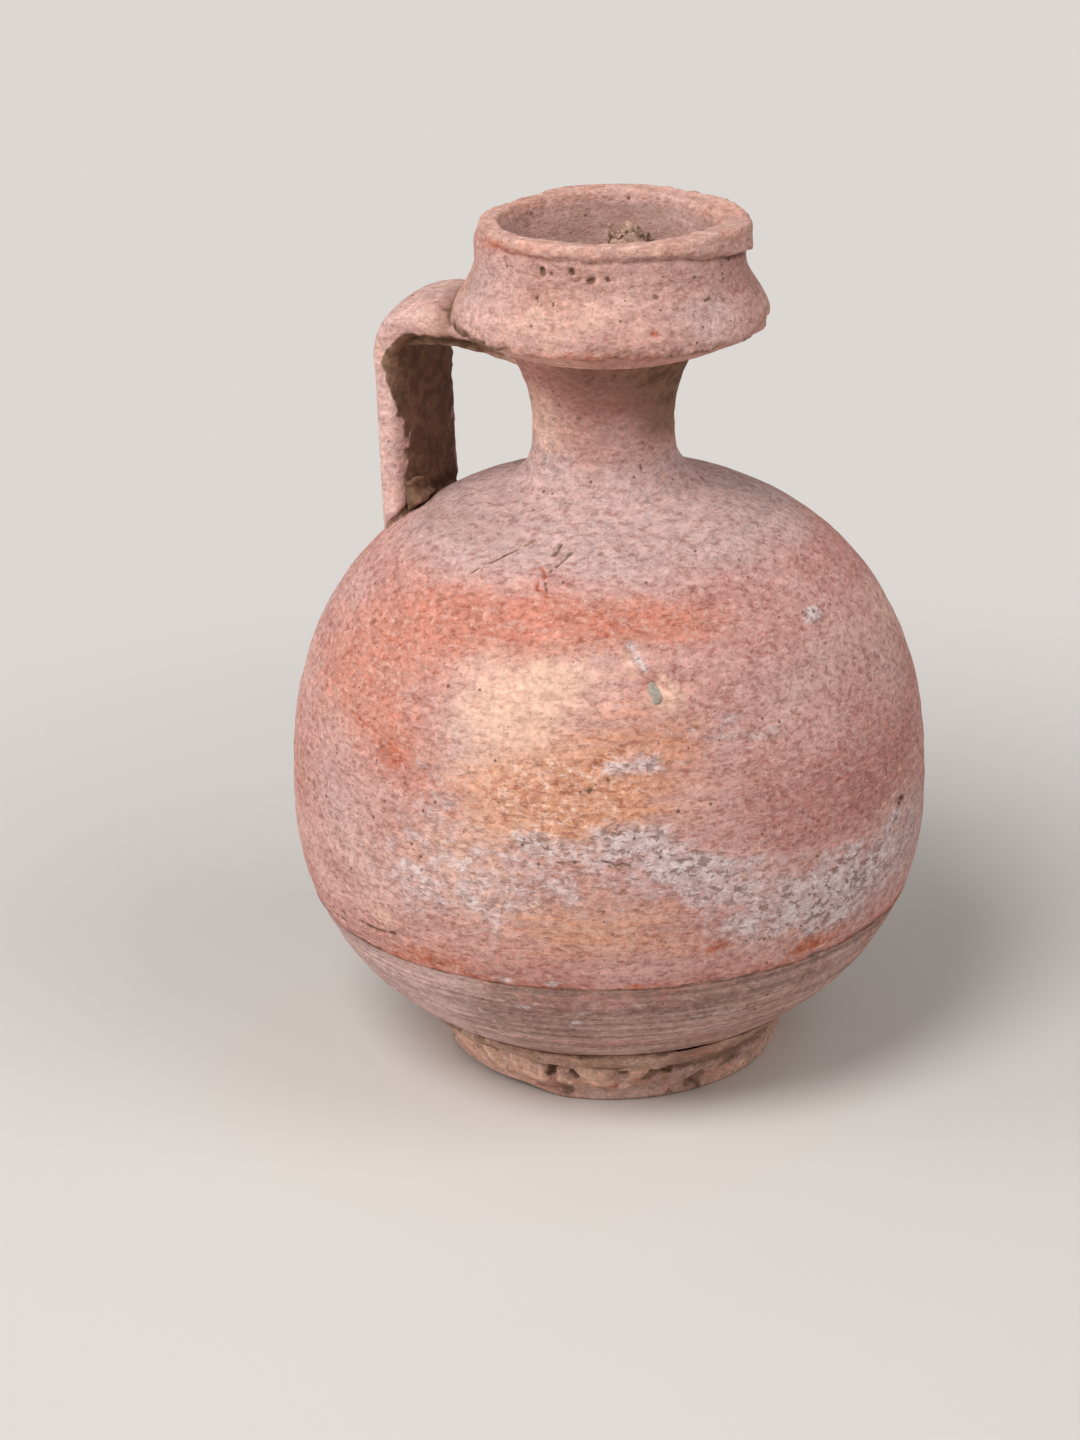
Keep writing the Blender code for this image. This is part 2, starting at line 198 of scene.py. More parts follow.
def patches(points, size, seed, low, high):
    """Patchy cover from 0 to 1: lumps of noise, cut off smoothly between two levels."""
    return rise_between(clouds(points, size, seed), low, high)


def deepen(stains, stain, cover):
    stains[stain] = np.maximum(stains.get(stain, 0.0), cover)


def stained(points, places_of):
    """How strongly each stain covers each point. A stain's places are given by the (turn, height)
    of their middle, how far they reach across and along the wall, and how strong they are."""
    wander = 2.6 * np.stack([clouds(points, 9.0, seed) for seed in (1, 2, 3)], axis=1)
    wander += 1.1 * np.stack([clouds(points, 3.5, seed) for seed in (1, 2, 3)], axis=1)
    turn, out, up = seen(points)
    covers = {}
    for stain, places in places_of.items():
        cover = np.zeros(len(points))
        for middle_turn, middle_up, across, along, strength in places:
            arc = np.radians((turn - middle_turn + 180) % 360 - 180) * out
            nearest = np.argmin(arc ** 2 + (up - middle_up) ** 2 - 0.5 * out)
            away = points + wander * min(1.0, along / 6) - points[nearest]
            angle = math.radians(middle_turn + camera_side)
            sideways = away @ np.array([-math.sin(angle), math.cos(angle), 0.0])
            lengthways = (away ** 2).sum(axis=1) - sideways ** 2
            cover += strength * np.exp(-((sideways / across) ** 2) - lengthways / along ** 2)
        covers[stain] = np.clip(cover, 0, 1)
    return covers


def mark_line(places, radius_at):
    return np.array([spot(turn, radius_at(height), height) for turn, height in places])


def distance_to(points, line):
    """Each point's distance from a line of points."""
    nearest = np.full(len(points), 1e9)
    for start, end in zip(line, line[1:]):
        along = end - start
        share = np.clip((points - start) @ along / (along @ along), 0, 1)
        off_line = points - start - share[:, None] * along
        nearest = np.minimum(nearest, np.linalg.norm(off_line, axis=1))
    return nearest


def marked(points, marks, radius_at, stains):
    """How far the marks in a surface push each point out. What fills them is added to the stains.
    A mark is the places that it runs through, its width, its depth and what fills it."""
    push = np.zeros(len(points))
    broken = patches(points, 1.5, 52, -0.6, -0.1)
    for places, width, depth, filling in marks:
        away = distance_to(points, mark_line(places, radius_at))
        groove = bell(away, width)
        lip = 0.3 * min(abs(depth), 0.4) * bell(away - 2 * width, width)
        push += lip - depth * groove
        cover = np.minimum(groove * (0.55 + abs(depth)), 1.0) * (broken if width < 0.7 else 1.0)
        deepen(stains, filling, cover)
    return push


def refined(bm, lines, reach, cuts):
    """Splits the bmesh's edges near some lines, so that fine marks there keep their shape."""
    places = np.array([corner.co for corner in bm.verts])
    near = np.zeros(len(places), bool)
    for line in lines:
        near |= distance_to(places, line) < reach
    bm.verts.index_update()
    edges = [edge for edge in bm.edges if near[edge.verts[0].index] and near[edge.verts[1].index]]
    bmesh.ops.subdivide_edges(bm, edges=edges, cuts=cuts, use_grid_fill=True)


def finished(mesh, points, stains, material, slot, *nodes):
    """The piece on the jug: its shape in metres, its stains as attributes, its finish and place."""
    mesh.vertices.foreach_set("co", (points / 1000).ravel())
    for stain in stain_names:
        cover = np.broadcast_to(stains.get(stain, 0.0), len(points))
        attribute = mesh.attributes.new(stain, "FLOAT", "POINT")
        attribute.data.foreach_set("value", cover.astype(np.float32))
    mesh.materials.append(material)
    mesh.shade_smooth()
    mesh.update()
    piece = bpy.data.objects.new(mesh.name, mesh)
    bpy.context.scene.collection.objects.link(piece)
    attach(piece, "root")
    if nodes:
        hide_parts(*nodes)


def linear(colour):
    """An sRGB hex colour as linear red, green, blue and alpha."""
    parts = [int(colour[start:start + 2], 16) / 255 for start in (0, 2, 4)]
    return (*[c / 12.92 if c <= 0.04045 else ((c + 0.055) / 1.055) ** 2.4 for c in parts], 1.0)


def add(material, kind, inputs, **settings):
    """Adds a node with its settings. An input is a value, the output that feeds it, or a node
    whose first output in use feeds it."""
    tree = material.node_tree
    node = tree.nodes.new(kind)
    for setting, value in settings.items():
        setattr(node, setting, value)
    for socket, value in inputs.items():
        if isinstance(value, bpy.types.Node):
            value = next(output for output in value.outputs if output.enabled)
        if isinstance(value, bpy.types.NodeSocket):
            tree.links.new(value, node.inputs[socket])
        else:
            node.inputs[socket].default_value = value
    return node


# Fired terracotta: an open, matt, gritty body, pink where it is worn, with iron-red flushes from
# the kiln, pale rubbed places, lime bloom and earth from the ground, wheel lines and small pits.
# The stains are painted by each piece's attributes and broken up by grain of real sizes.
stain_names = ("ash", "ochre", "dusk", "flush", "ember", "pale", "bloom", "loam", "soil")

# Each grain's size in millimetres across and along the jug's axis, how many finer grains ride on
# it, how rough these are and how far they are pulled about. The finest are drawn about twice as
# coarse as the sand in the clay, so that they show.
grain_sizes = {
    "lumps": (19.0, 14.0, 2, 0.50, 0.0),
    "mottle": (3.6, 2.8, 4, 0.62, 0.4),
    "sand": (0.9, 0.8, 3, 0.70, 0.0),
    "flakes": (2.0, 1.5, 4, 0.72, 0.4),
    "crust": (5.2, 3.4, 5, 0.74, 0.3),
    "wheel": (18.0, 1.3, 3, 0.60, 0.0),
    "chalk": (1.9, 1.1, 4, 0.72, 0.2),
    "rust": (2.0, 1.0, 4, 0.74, 0.2),
    "dashes": (2.1, 1.3, 3, 0.68, 0.4),
}


def terracotta(name, light, dark, wheel_shade=0.1, wheel_relief=0.5, stroke=1.0, grit=1.0,
               ring_length=1.0, pitted=0.32):
    """A finish of this clay: its two tones, how far the wheel's lines shade it and stand out, how
    strong dragged sand and grit are, how long turned rings run and what share of it is pitted."""
    material = bpy.data.materials.new(name)
    material.use_nodes = True
    place = add(material, "ShaderNodeTexCoord", {}).outputs["Object"]
    grain = {}
    for kind, (across, along, detail, roughness, distortion) in grain_sizes.items():
        shift = 3.1 * len(grain)
        across *= ring_length if kind == "wheel" else 1.0
        scaled = add(material, "ShaderNodeMapping", {
            "Vector": place,
            "Location": (shift, shift, shift),
            "Scale": (1000 / across, 1000 / across, 1000 / along),
        })
        grain[kind] = add(material, "ShaderNodeTexNoise", {
            "Vector": scaled,
            "Scale": 1.0,
            "Detail": detail,
            "Roughness": roughness,
            "Distortion": distortion,
        })

    # Grain cut to shares: sand dragged over the damp clay leaves short chalky flecks and rusty
    # furrows, and the clay, the lime, the flaked dashes in it and the earth each have two tones
    for share, kind, start, full in (
        ("chalk", "chalk", 0.46, 0.72),
        ("rust", "rust", 0.45, 0.72),
        ("darker", "lumps", 0.30, 0.70),
        ("whiter", "flakes", 0.40, 0.62),
        ("dashes", "dashes", 0.52, 0.60),
        ("drier", "mottle", 0.38, 0.66),
    ):
        grain[share] = add(material, "ShaderNodeMapRange", {
            "Value": grain[kind], "From Min": start, "From Max": full,
        }, interpolation_type="SMOOTHSTEP")

    # Pits of 0.3 to 0.8 mm where sand and straw fell out, in a share of 2.6 mm cells
    cell_size = 0.0026
    cells = add(material, "ShaderNodeTexVoronoi", {"Vector": place, "Scale": 1 / cell_size})
    chance = add(material, "ShaderNodeSeparateColor", {"Color": cells.outputs["Color"]})
    size = add(material, "ShaderNodeMapRange", {
        "Value": chance.outputs["Green"], "To Min": 0.03, "To Max": 0.17,
    })
    ragged = add(material, "ShaderNodeMath", {0: grain["sand"], 1: 0.12, 2: size},
                 operation="MULTIPLY_ADD")
    inside = add(material, "ShaderNodeMath", {0: ragged, 1: cells.outputs["Distance"]},
                 operation="SUBTRACT")
    hole = add(material, "ShaderNodeMapRange", {
        "Value": inside, "From Min": 0.05, "From Max": 0.10,
    }, interpolation_type="SMOOTHSTEP")
    chosen = add(material, "ShaderNodeMath", {0: chance.outputs["Red"], 1: 1 - pitted},
                 operation="GREATER_THAN")
    grain["pits"] = add(material, "ShaderNodeMath", {0: hole, 1: chosen}, operation="MULTIPLY")

    def laid(colour, kind, tint, breaks, share, start, full, strength):
        """A stain over the colour under it, with an edge that a grain breaks up."""
        stain = add(material, "ShaderNodeAttribute", {}, attribute_name=kind).outputs["Fac"]
        ragged = add(material, "ShaderNodeMath", {0: grain[breaks], 1: share, 2: stain},
                     operation="MULTIPLY_ADD")
        grain[kind] = add(material, "ShaderNodeMapRange", {
            "Value": ragged,
            "From Min": start + share / 2,
            "From Max": full + share / 2,
            "To Max": strength,
        }, interpolation_type="SMOOTHSTEP")
        return add(material, "ShaderNodeMix", {0: grain[kind], 6: colour, 7: tint},
                   data_type="RGBA")

    # The clay's own two tones and what the kiln, wear and damp did to them
    colour = add(material, "ShaderNodeMix", {
        0: grain["darker"], 6: linear(light), 7: linear(dark),
    }, data_type="RGBA")
    for kind, tint, breaks, share, start, full, strength in (
        ("ash", "C9ABA6", "mottle", 0.6, 0.1, 0.9, 0.9),
        ("ochre", "DF9E79", "wheel", 1.0, 0.1, 0.9, 0.85),
        ("dusk", "BC8178", "mottle", 0.9, 0.1, 0.9, 0.9),
        ("flush", "CE8773", "mottle", 0.9, 0.05, 0.95, 1.0),
        ("ember", "BE6241", "flakes", 1.2, 0.15, 0.9, 0.85),
        ("pale", "F0C4AD", "mottle", 0.5, 0.0, 1.0, 0.92),
        ("ochre", "F6DCCB", "flakes", 3.0, 1.0, 1.5, 0.75),
        ("ochre", "AA5C3A", "crust", -3.2, 0.95, 1.5, 0.70),
    ):
        colour = laid(colour, kind, linear(tint), breaks, share, start, full, strength)

    # Light and dark of the wheel lines, the mottling, the sand and the dragged marks
    for kind, depth in (("wheel", wheel_shade), ("sand", 0.15 * grit), ("flakes", 0.12 * grit),
                        ("mottle", 0.12)):
        shade = add(material, "ShaderNodeMapRange", {
            "Value": grain[kind],
            "From Min": 0.25,
            "From Max": 0.75,
            "To Min": 1 - depth,
            "To Max": 1 + depth,
        }, interpolation_type="SMOOTHSTEP")
        colour = add(material, "ShaderNodeMix", {0: 1.0, 6: colour, 7: shade},
                     data_type="RGBA", blend_type="MULTIPLY")
    unrubbed = add(material, "ShaderNodeMath", {0: grain["pale"], 1: -0.5, 2: 1.0},
                   operation="MULTIPLY_ADD")
    for kind, strength, tint, blend in (("chalk", 0.55 * stroke, "F4CEC2", "MIX"),
                                        ("rust", stroke, "CDB0A6", "MULTIPLY")):
        faint = add(material, "ShaderNodeMath", {0: grain[kind], 1: strength}, operation="MULTIPLY")
        faint = add(material, "ShaderNodeMath", {0: faint, 1: unrubbed}, operation="MULTIPLY")
        colour = add(material, "ShaderNodeMix", {0: faint, 6: colour, 7: linear(tint)},
                     data_type="RGBA", blend_type=blend)

    # Lime bloom in a broken crust with dark flaked-off dashes, then pits, then two-toned earth
    lime = add(material, "ShaderNodeMix", {
        0: grain["whiter"], 6: linear("C8ACAC"), 7: linear("F1E2E2"),
    }, data_type="RGBA")
    colour = laid(colour, "bloom", lime, "crust", 2.0, 0.22, 0.85, 0.80)
    limed = add(material, "ShaderNodeAttribute", {}, attribute_name="bloom").outputs["Fac"]
    grain["dashes"] = add(material, "ShaderNodeMath", {0: grain["dashes"], 1: limed},
                          operation="MULTIPLY")
    for kind, strength, tint in (("dashes", 0.85, "84604F"), ("pits", 0.75, "6E4738")):
        faint = add(material, "ShaderNodeMath", {0: grain[kind], 1: strength}, operation="MULTIPLY")
        colour = add(material, "ShaderNodeMix", {0: faint, 6: colour, 7: linear(tint)},
                     data_type="RGBA")
    earth = add(material, "ShaderNodeMix", {
        0: grain["drier"], 6: linear("644935"), 7: linear("8E6C55"),
    }, data_type="RGBA")
    colour = laid(colour, "loam", linear("9D7866"), "mottle", 0.8, 0.1, 0.95, 0.85)
    colour = laid(colour, "soil", earth, "flakes", 1.2, 0.2, 0.8, 0.92)

    # Relief: a whole step of height here stands for 0.25 mm on the clay
    relief_step = 0.00025
    height = add(material, "ShaderNodeMath", {0: grain["sand"], 1: 0.9 * grit},
                 operation="MULTIPLY")
    for kind, depth in (("mottle", 0.7 * grit), ("flakes", 0.5 * grit), ("wheel", wheel_relief),
                        ("chalk", 0.30 * stroke), ("rust", -0.50 * stroke), ("pits", -1.0),
                        ("bloom", 0.4), ("dashes", -0.8), ("soil", 0.5)):
        height = add(material, "ShaderNodeMath", {0: grain[kind], 1: depth, 2: height},
                     operation="MULTIPLY_ADD")
    relief = add(material, "ShaderNodeBump", {
        "Height": height, "Strength": 0.9, "Distance": relief_step,
    })
    matt = add(material, "ShaderNodeMapRange", {
        "Value": grain["mottle"], "From Min": 0.2, "From Max": 0.8, "To Min": 0.84, "To Max": 0.97,
    })
    shader = material.node_tree.nodes["Principled BSDF"]
    shader.inputs["Specular IOR Level"].default_value = 0.25
    for output, socket in ((colour.outputs[2], "Base Color"), (matt.outputs[0], "Roughness"),
                           (relief.outputs[0], "Normal")):
        material.node_tree.links.new(output, shader.inputs[socket])
    return material


# Where the kiln, wear and the ground coloured the body. Places beyond a turn of about 90 are on
# the back, in the front's manner.
body_stains = {
    "flush": [
        (2, 117.0, 22, 6.5, 0.75), (20, 115.5, 10, 4.5, 0.6), (-22, 116.5, 20, 8.0, 0.6),
        (-42, 114.0, 20, 10.0, 0.6), (-52, 102.0, 15, 14.0, 0.6), (-42, 90.0, 10, 10.0, 0.5),
        (-31, 79.0, 8, 9.0, 0.45), (-68, 96.0, 16, 16.0, 0.45), (-24, 56.0, 14, 8.0, 0.25),
        (-34, 43.0, 12, 3.5, 1.0), (39, 45.0, 9, 4.0, 0.9), (150, 96.0, 34, 16.0, 0.8),
        (-120, 112.0, 26, 9.0, 0.6), (100, 76.0, 20, 12.0, 0.4),
    ],
    "ember": [
        (-42, 88.0, 5, 3.5, 0.8), (4, 116.5, 12, 3.0, 0.5), (-33.7, 43.2, 6, 2.2, 0.9),
        (19, 50.4, 4, 2.0, 0.9), (38.6, 43.9, 7, 1.8, 1.0), (14.5, 71.3, 2, 1.2, 0.6),
        (155, 92.0, 16, 6.0, 0.7),
    ],
    "ochre": [
        (-4, 85.0, 24, 10.0, 0.75), (-11, 79.0, 17, 8.0, 0.6), (-15, 88.0, 19, 7.0, 0.5),
        (6, 96.0, 18, 8.0, 0.5), (-8, 60.0, 26, 9.0, 0.45), (2, 52.0, 28, 7.0, 0.35),
        (115, 86.0, 26, 12.0, 0.6), (-160, 70.0, 30, 12.0, 0.6),
    ],
    "dusk": [
        (38, 80.0, 26, 8.0, 0.85), (52, 73.5, 12, 4.0, 0.7), (33, 70.5, 8, 2.5, 0.6),
        (60, 78.0, 16, 10.0, 0.5), (70, 84.0, 14, 10.0, 0.5), (46, 98.0, 18, 8.0, 0.3),
        (-110, 82.0, 28, 14.0, 0.6), (176, 120.0, 30, 8.0, 0.5),
    ],
    "pale": [
        (-18, 102.5, 12, 9.0, 0.8), (-20, 96.0, 22, 16.0, 0.25), (-9, 107.0, 9, 5.0, 0.6),
        (-25, 93.0, 10, 9.0, 0.15), (-30, 66.0, 14, 12.0, 0.3), (-52, 66.0, 14, 14.0, 0.3),
        (11, 103.5, 4, 4.0, 0.8), (5, 110.0, 2, 4.0, 0.7), (-22, 70.0, 18, 14.0, 0.35),
        (-44, 50.3, 4, 1.8, 0.6), (-170, 84.0, 20, 10.0, 0.6), (80, 104.0, 14, 8.0, 0.4),
    ],
    "bloom": [
        (38, 60.0, 15, 7.5, 0.58), (52, 60.0, 11, 9.0, 0.52), (20, 62.0, 13, 8.0, 0.50),
        (28, 52.0, 14, 7.0, 0.50), (44, 51.0, 12, 8.0, 0.48), (66, 57.0, 12, 12.0, 0.40),
        (13, 69.0, 11, 6.0, 0.60), (4.8, 90.8, 8, 2.8, 0.85), (4.1, 76.8, 8, 3.6, 0.85),
        (-13, 74.5, 7, 2.4, 0.65), (-2, 72.0, 18, 6.0, 0.45), (-14, 63.0, 18, 8.0, 0.42),
        (-36, 62.0, 22, 14.0, 0.45), (-30, 82.0, 10, 12.0, 0.30), (31, 94.0, 7, 3.0, 0.35),
        (18, 97.0, 14, 6.0, 0.38), (51, 112.2, 3.0, 2.0, 1.5), (61, 66.0, 2.0, 1.4, 1.0),
        (-19.2, 41.4, 2.0, 1.0, 1.0), (-10.4, 41.4, 2.0, 1.0, 1.0), (-150, 58.0, 34, 12.0, 0.65),
        (120, 52.0, 18, 8.0, 0.55), (-95, 104.0, 10, 3.0, 0.5),
    ],
    "ash": [
        (-28, 95.0, 6, 11.0, 0.7), (40, 102.0, 22, 10.0, 0.55), (70, 98.0, 16, 14.0, 0.45),
        (70, 58.0, 14, 13.0, 0.9), (50, 52.0, 12, 8.0, 0.6), (-54, 68.0, 16, 16.0, 0.55),
        (-62, 84.0, 12, 12.0, 0.30), (-34, 58.0, 14, 8.0, 0.35), (-100, 70.0, 20, 14.0, 0.5),
        (140, 74.0, 24, 10.0, 0.4),
    ],
    "loam": [
        (33, 58.0, 10, 4.0, 0.25), (-90, 126.0, 14, 4.0, 0.4), (-54, 127.5, 18, 6.0, 0.45),
    ],
    "soil": [
        # The soil spot at turn 63.5 fills the pinhole: earth, and painted shade inside the hole.
        (-115, 125.0, 15, 3.0, 0.75), (-3.6, 86.5, 0.9, 0.9, 0.9), (63.5, 68.1, 0.8, 0.6, 1.0),
        (-57.6, 46.2, 2.0, 0.8, 0.7),
    ],
}

# Marks cut or knocked into the shoulder and belly, a pinhole among them
body_marks = (
    ([(-39.8, 121.8), (-37.6, 123.4)], 0.30, 0.25, "soil"),
    ([(-36.2, 123.6), (-31, 125.8), (-26, 127.6)], 0.32, 0.35, "soil"),
    ([(-16.0, 127.3), (-16.9, 126.0)], 0.60, 0.35, "soil"),
    ([(-11.6, 126.3), (-14.0, 125.0), (-16.4, 123.6)], 0.50, 0.30, "soil"),
    ([(-20.0, 124.2), (-18.2, 123.6), (-17.2, 122.6)], 0.60, 0.25, "ember"),
    ([(-19.0, 122.4), (-18.8, 121.2), (-16.6, 120.2), (-14.6, 119.9)], 0.40, 0.35, "ember"),
    ([(-16.8, 122.0), (-15.8, 120.9)], 0.35, 0.25, "soil"),
    ([(5.0, 112.6), (6.2, 110.6), (7.6, 108.2)], 1.15, 0.25, "bloom"),
    ([(8.4, 106.2), (9.3, 104.2), (9.7, 102.2)], 1.60, 0.45, "dusk"),
    ([(10.6, 107.4), (12.6, 104.6), (12.4, 101.6)], 1.00, -0.25, "pale"),
    ([(28.8, 94.9), (30.4, 95.4), (32.4, 95.5)], 0.30, 0.20, "dusk"),
    ([(-8.0, 70.8), (-6.6, 71.2), (-5.0, 71.0)], 0.24, 0.20, "soil"),
    ([(-1.4, 71.3), (0.0, 71.0), (0.9, 70.3), (2.0, 70.7), (3.4, 70.2)], 0.28, 0.25, "soil"),
    ([(6.4, 77.6), (7.7, 75.6), (9.1, 73.4)], 0.55, 0.30, "ember"),
    ([(-55.0, 92.6), (-50.0, 91.4), (-45.0, 90.2)], 0.32, 0.25, "ember"),
    ([(-51.4, 46.4), (-46.0, 46.3), (-42.0, 47.3)], 0.46, 0.40, "soil"),
    ([(-67.0, 43.4), (-62.0, 43.0), (-58.0, 43.6)], 0.46, 0.40, "soil"),
    # The pinhole, filled with soil that is earth and painted shade inside it.
    ([(62.9, 68.1), (64.1, 68.1)], 0.65, 4.00, "soil"),
    ([(62.7, 75.3), (72.0, 74.8), (82.7, 74.0)], 0.60, 0.12, "pale"),
    ([(56.0, 70.2), (64.0, 71.4), (73.8, 72.2)], 0.60, 0.12, "pale"),
)

inner_radius = belly_radius - body_wall
inner_rise = shoulder_rise - body_wall
inner_drop = 49.5
hole_rise = shoulder_height(neck_hole) - belly_height
hole_inside = inner_rise * (1 - (neck_hole / inner_radius) ** fullness) ** (1 / fullness)
below = belly_height - seam_height
outline = np.concatenate([
    raised(round_arc(belly_radius, bowl_drop, below, 0.0, outer_spacing), belly_height, -1),
    raised(round_arc(belly_radius, shoulder_rise, 0.0, hole_rise, outer_spacing), belly_height)[1:],
    raised(round_arc(inner_radius, inner_rise, hole_inside, 0.0, hidden_spacing), belly_height),
    raised(round_arc(inner_radius, inner_drop, 0.0, below - scarf_lap, hidden_spacing),
           belly_height, -1)[1:],
])
bm = spun(outline, sides=500)
refined(bm, [mark_line(mark[0], body_radius) for mark in body_marks], mark_reach, cuts=2)
mesh, points, normals = meshed("round_body", bm)
turn, out, up = seen(points)
outside = outer_wall(points, normals)
stains = stained(points, body_stains)
shoulder_ash = rise_between(up + 3 * clouds(points, 16.0, 4), 117.0, 127.0)
deepen(stains, "ash", shoulder_ash)
push = -0.42 + uneven(points, (0.32, 48.0, 5), (0.13, (70, 70, 2.6), 6), (0.07, (40, 40, 1.5), 7),
                      (0.10, (9, 9, 5), 8), (0.07, 2.4, 9))
push += 0.16 * rise_between(stains["bloom"] + 0.6 * clouds(points, 3.5, 10), 0.4, 0.7)

# The cut edge at the seam is ragged, and the slip that oozed there fired to a red-brown line
edge_band = 1 - rise_between(up, 41.0, 44.0)
edge_line = 1 - rise_between(up + 1.2 * clouds(points, 5.0, 55), 40.8, 43.2)
push -= 0.30 * edge_band * patches(points, (7, 7, 3), 11, -0.1, 0.4)
oozed = edge_line * patches(points, (11, 11, 40), 56, -0.45, 0.15)
deepen(stains, "ember", 0.55 * oozed)
deepen(stains, "dusk", 0.7 * edge_line)
deepen(stains, "flush", 0.3 * edge_band)
earthy = (1 - rise_between(up, 40.4, 41.4)) * patches(points, 8.0, 12, -0.4, 0.2)
deepen(stains, "soil", 0.75 * earthy)
push += marked(points, body_marks, body_radius, stains)
points += normals * (push * outside)[:, None]
red_clay = terracotta("kiln_flushed_terracotta", "DAABA2", "CA9188")
finished(mesh, points, stains, red_clay, "red_clay", "upper_body")

# A grey pebble that was left in the clay lies bare in a hollow of the belly
pebble_turn, pebble_height, pebble_slope, pebble_lean = 9.2, 104.2, 31, 18
pebble_sizes = Vector((0.9, 1.5, 2.5))
pebble_taper = 0.14
pebble_sunk = 1.0
pebble_drop = 0.6
bm = bmesh.new()
bmesh.ops.create_icosphere(bm, subdivisions=4, radius=1.0)
for corner in bm.verts:
    corner.co = corner.co * pebble_sizes
    corner.co.y *= 1 - pebble_taper * corner.co.z
for axis, angle in (("X", pebble_lean), ("Y", -pebble_slope), ("Z", pebble_turn + camera_side)):
    bmesh.ops.rotate(bm, matrix=Matrix.Rotation(math.radians(angle), 3, axis), verts=bm.verts)
mesh, points, normals = meshed("grey_pebble", bm)
points += spot(pebble_turn, body_radius(pebble_height) - pebble_sunk, pebble_height - pebble_drop)
points += normals * (0.35 * clouds(points, 1.5, 83))[:, None]
grey_stone = terracotta("grey_stone", "B2AC9E", "9F998C", wheel_shade=0.0, wheel_relief=0.0,
                        stroke=0.4)
finished(mesh, points, {}, grey_stone, "red_clay")


# Lower bowl
# The bottom of the body, turned thinner upside down on the wheel when it was leather-hard, so it
# shows fine rings and greyer clay. It is scarfed and luted to the upper body at a ragged ledge.

trim_depth = 0.5
seam_tuck = 1.2
underside_height = 7.5
floor_height = 14.0
bowl_radius = belly_radius - trim_depth
flat_drop = belly_height - underside_height
tucked_drop = belly_height - seam_height - seam_tuck
outside_arc = round_arc(bowl_radius, bowl_drop, flat_drop, tucked_drop, spacing=0.62)
inside_arc = round_arc(inner_radius, inner_drop, tucked_drop, inner_drop, spacing=6.0)
outside_line = raised(outside_arc, belly_height, -1)
inside_line = raised(inside_arc, belly_height, -1)
underside = evenly([(0.0, underside_height), outside_line[0]], spacing=2.0)
outline = np.concatenate([underside[:-1], outside_line, inside_line])
outline[-1] = (0.0, floor_height)
mesh, points, normals = meshed("lower_bowl", spun(outline, sides=480, closed=False))
turn, out, up = seen(points)
outside = outer_wall(points, normals)
# The left side is greyer and paler with ash: greyer clay, and a painted highlight where the lamps
# light it.
greyed = between(-turn, 8.0, 45.0, 90.0, 150.0)
stains = stained(points, {
    "bloom": [(-25, 27.5, 1.6, 0.9, 1.0), (-7, 30.0, 1.4, 0.8, 1.0), (14, 36.5, 1.2, 0.8, 0.8)],
    "loam": [(-32, 22.0, 6, 1.8, 0.7), (-22, 20.0, 5, 1.6, 0.7), (30, 19.0, 10, 1.8, 0.6)],
    "soil": [(-29, 22.4, 2.4, 0.8, 0.6)],
})
stains["flush"] = 0.2 * rise_between(up + 1.5 * clouds(points, 11.0, 19), 37.5, 40.0)
stains["dusk"] = 0.45 * patches(points, (60, 60, 3.0), 13, -0.1, 0.4) * (1 - greyed)
turned_line = bell(up - 31.6 - 0.3 * clouds(points, 20.0, 73), 0.5)
stains["pale"] = 0.5 * turned_line * patches(points, (14, 14, 40), 74, -0.3, 0.3)
stains["ash"] = 0.75 * greyed + 0.25 * patches(points, (50, 50, 4.0), 57, 0.0, 0.4)
bloomed = patches(points, (16, 16, 1.2), 13, 0.15, 0.5)
deepen(stains, "bloom", 0.35 * bloomed)
earthy = rise_between(up, 39.4, 40.3) * patches(points, 9.0, 12, -0.4, 0.3)
crevice = bell(up - 14.6, 1.2) * patches(points, 7.0, 58, -0.4, 0.3)
deepen(stains, "soil", np.maximum(0.5 * earthy, 0.6 * crevice))
push = -0.25 + uneven(points, (0.25, 40.0, 5), (0.16, (120, 120, 1.9), 14),
                      (0.09, (80, 80, 1.0), 15), (0.05, 2.2, 9))
groove_width = 0.55
for groove, depth in ((36.2, 0.22), (31.4, 0.30), (26.2, 0.22), (20.5, 0.30)):
    push -= depth * bell(up - groove - 0.4 * np.sin(np.radians(turn)), groove_width)
points += normals * (push * outside * rise_between(out, 20.0, 30.0))[:, None]
trimmed_clay = terracotta("turned_terracotta", "BA998F", "9C7B70", wheel_shade=0.36,
                          wheel_relief=1.5, stroke=0.7, ring_length=4.0)
finished(mesh, points, stains, trimmed_clay, "trimmed_clay", "base_bowl")


# Ring foot
# A coil of clay turned to a low tapering ring and luted under the bowl. Its face is lumpy and
# cracked, with hollows that hold earth, and its rest is worn flat.

foot_top_radius = 41.2
foot_taper = 4.6
foot_rest_width = 6.5
foot_edge_rounding = 1.2
foot_lip_inset = 0.6
foot_seat_lap = 0.4
foot_inner_flare = 1.5


def bowl_underside(radius):
    drop = bowl_drop * (1 - (radius / bowl_radius) ** fullness) ** (1 / fullness)
    return max(belly_height - drop, underside_height)


foot_top = bowl_underside(foot_top_radius)
rest_outer = foot_top_radius - foot_taper - foot_edge_rounding
rest_inner = rest_outer - foot_rest_width
rounding = np.radians(np.linspace(90, 0, 7))
edge_line = np.stack([
    rest_outer + foot_edge_rounding * np.cos(rounding),
    foot_edge_rounding * (1 - np.sin(rounding)),
], axis=1)
lip_out = foot_top_radius - foot_lip_inset
face_line = evenly([edge_line[-1], (lip_out, foot_top - foot_seat_lap)], spacing=0.45)
seat_radii = np.linspace(lip_out, rest_inner - foot_inner_flare, 9)
seat_line = np.array([(radius, bowl_underside(radius) + foot_seat_lap) for radius in seat_radii])
inside_line = evenly([seat_line[-1], (rest_inner, 0.0)], spacing=1.5)
outline = np.concatenate([edge_line[:-1], face_line, seat_line, inside_line[1:]])


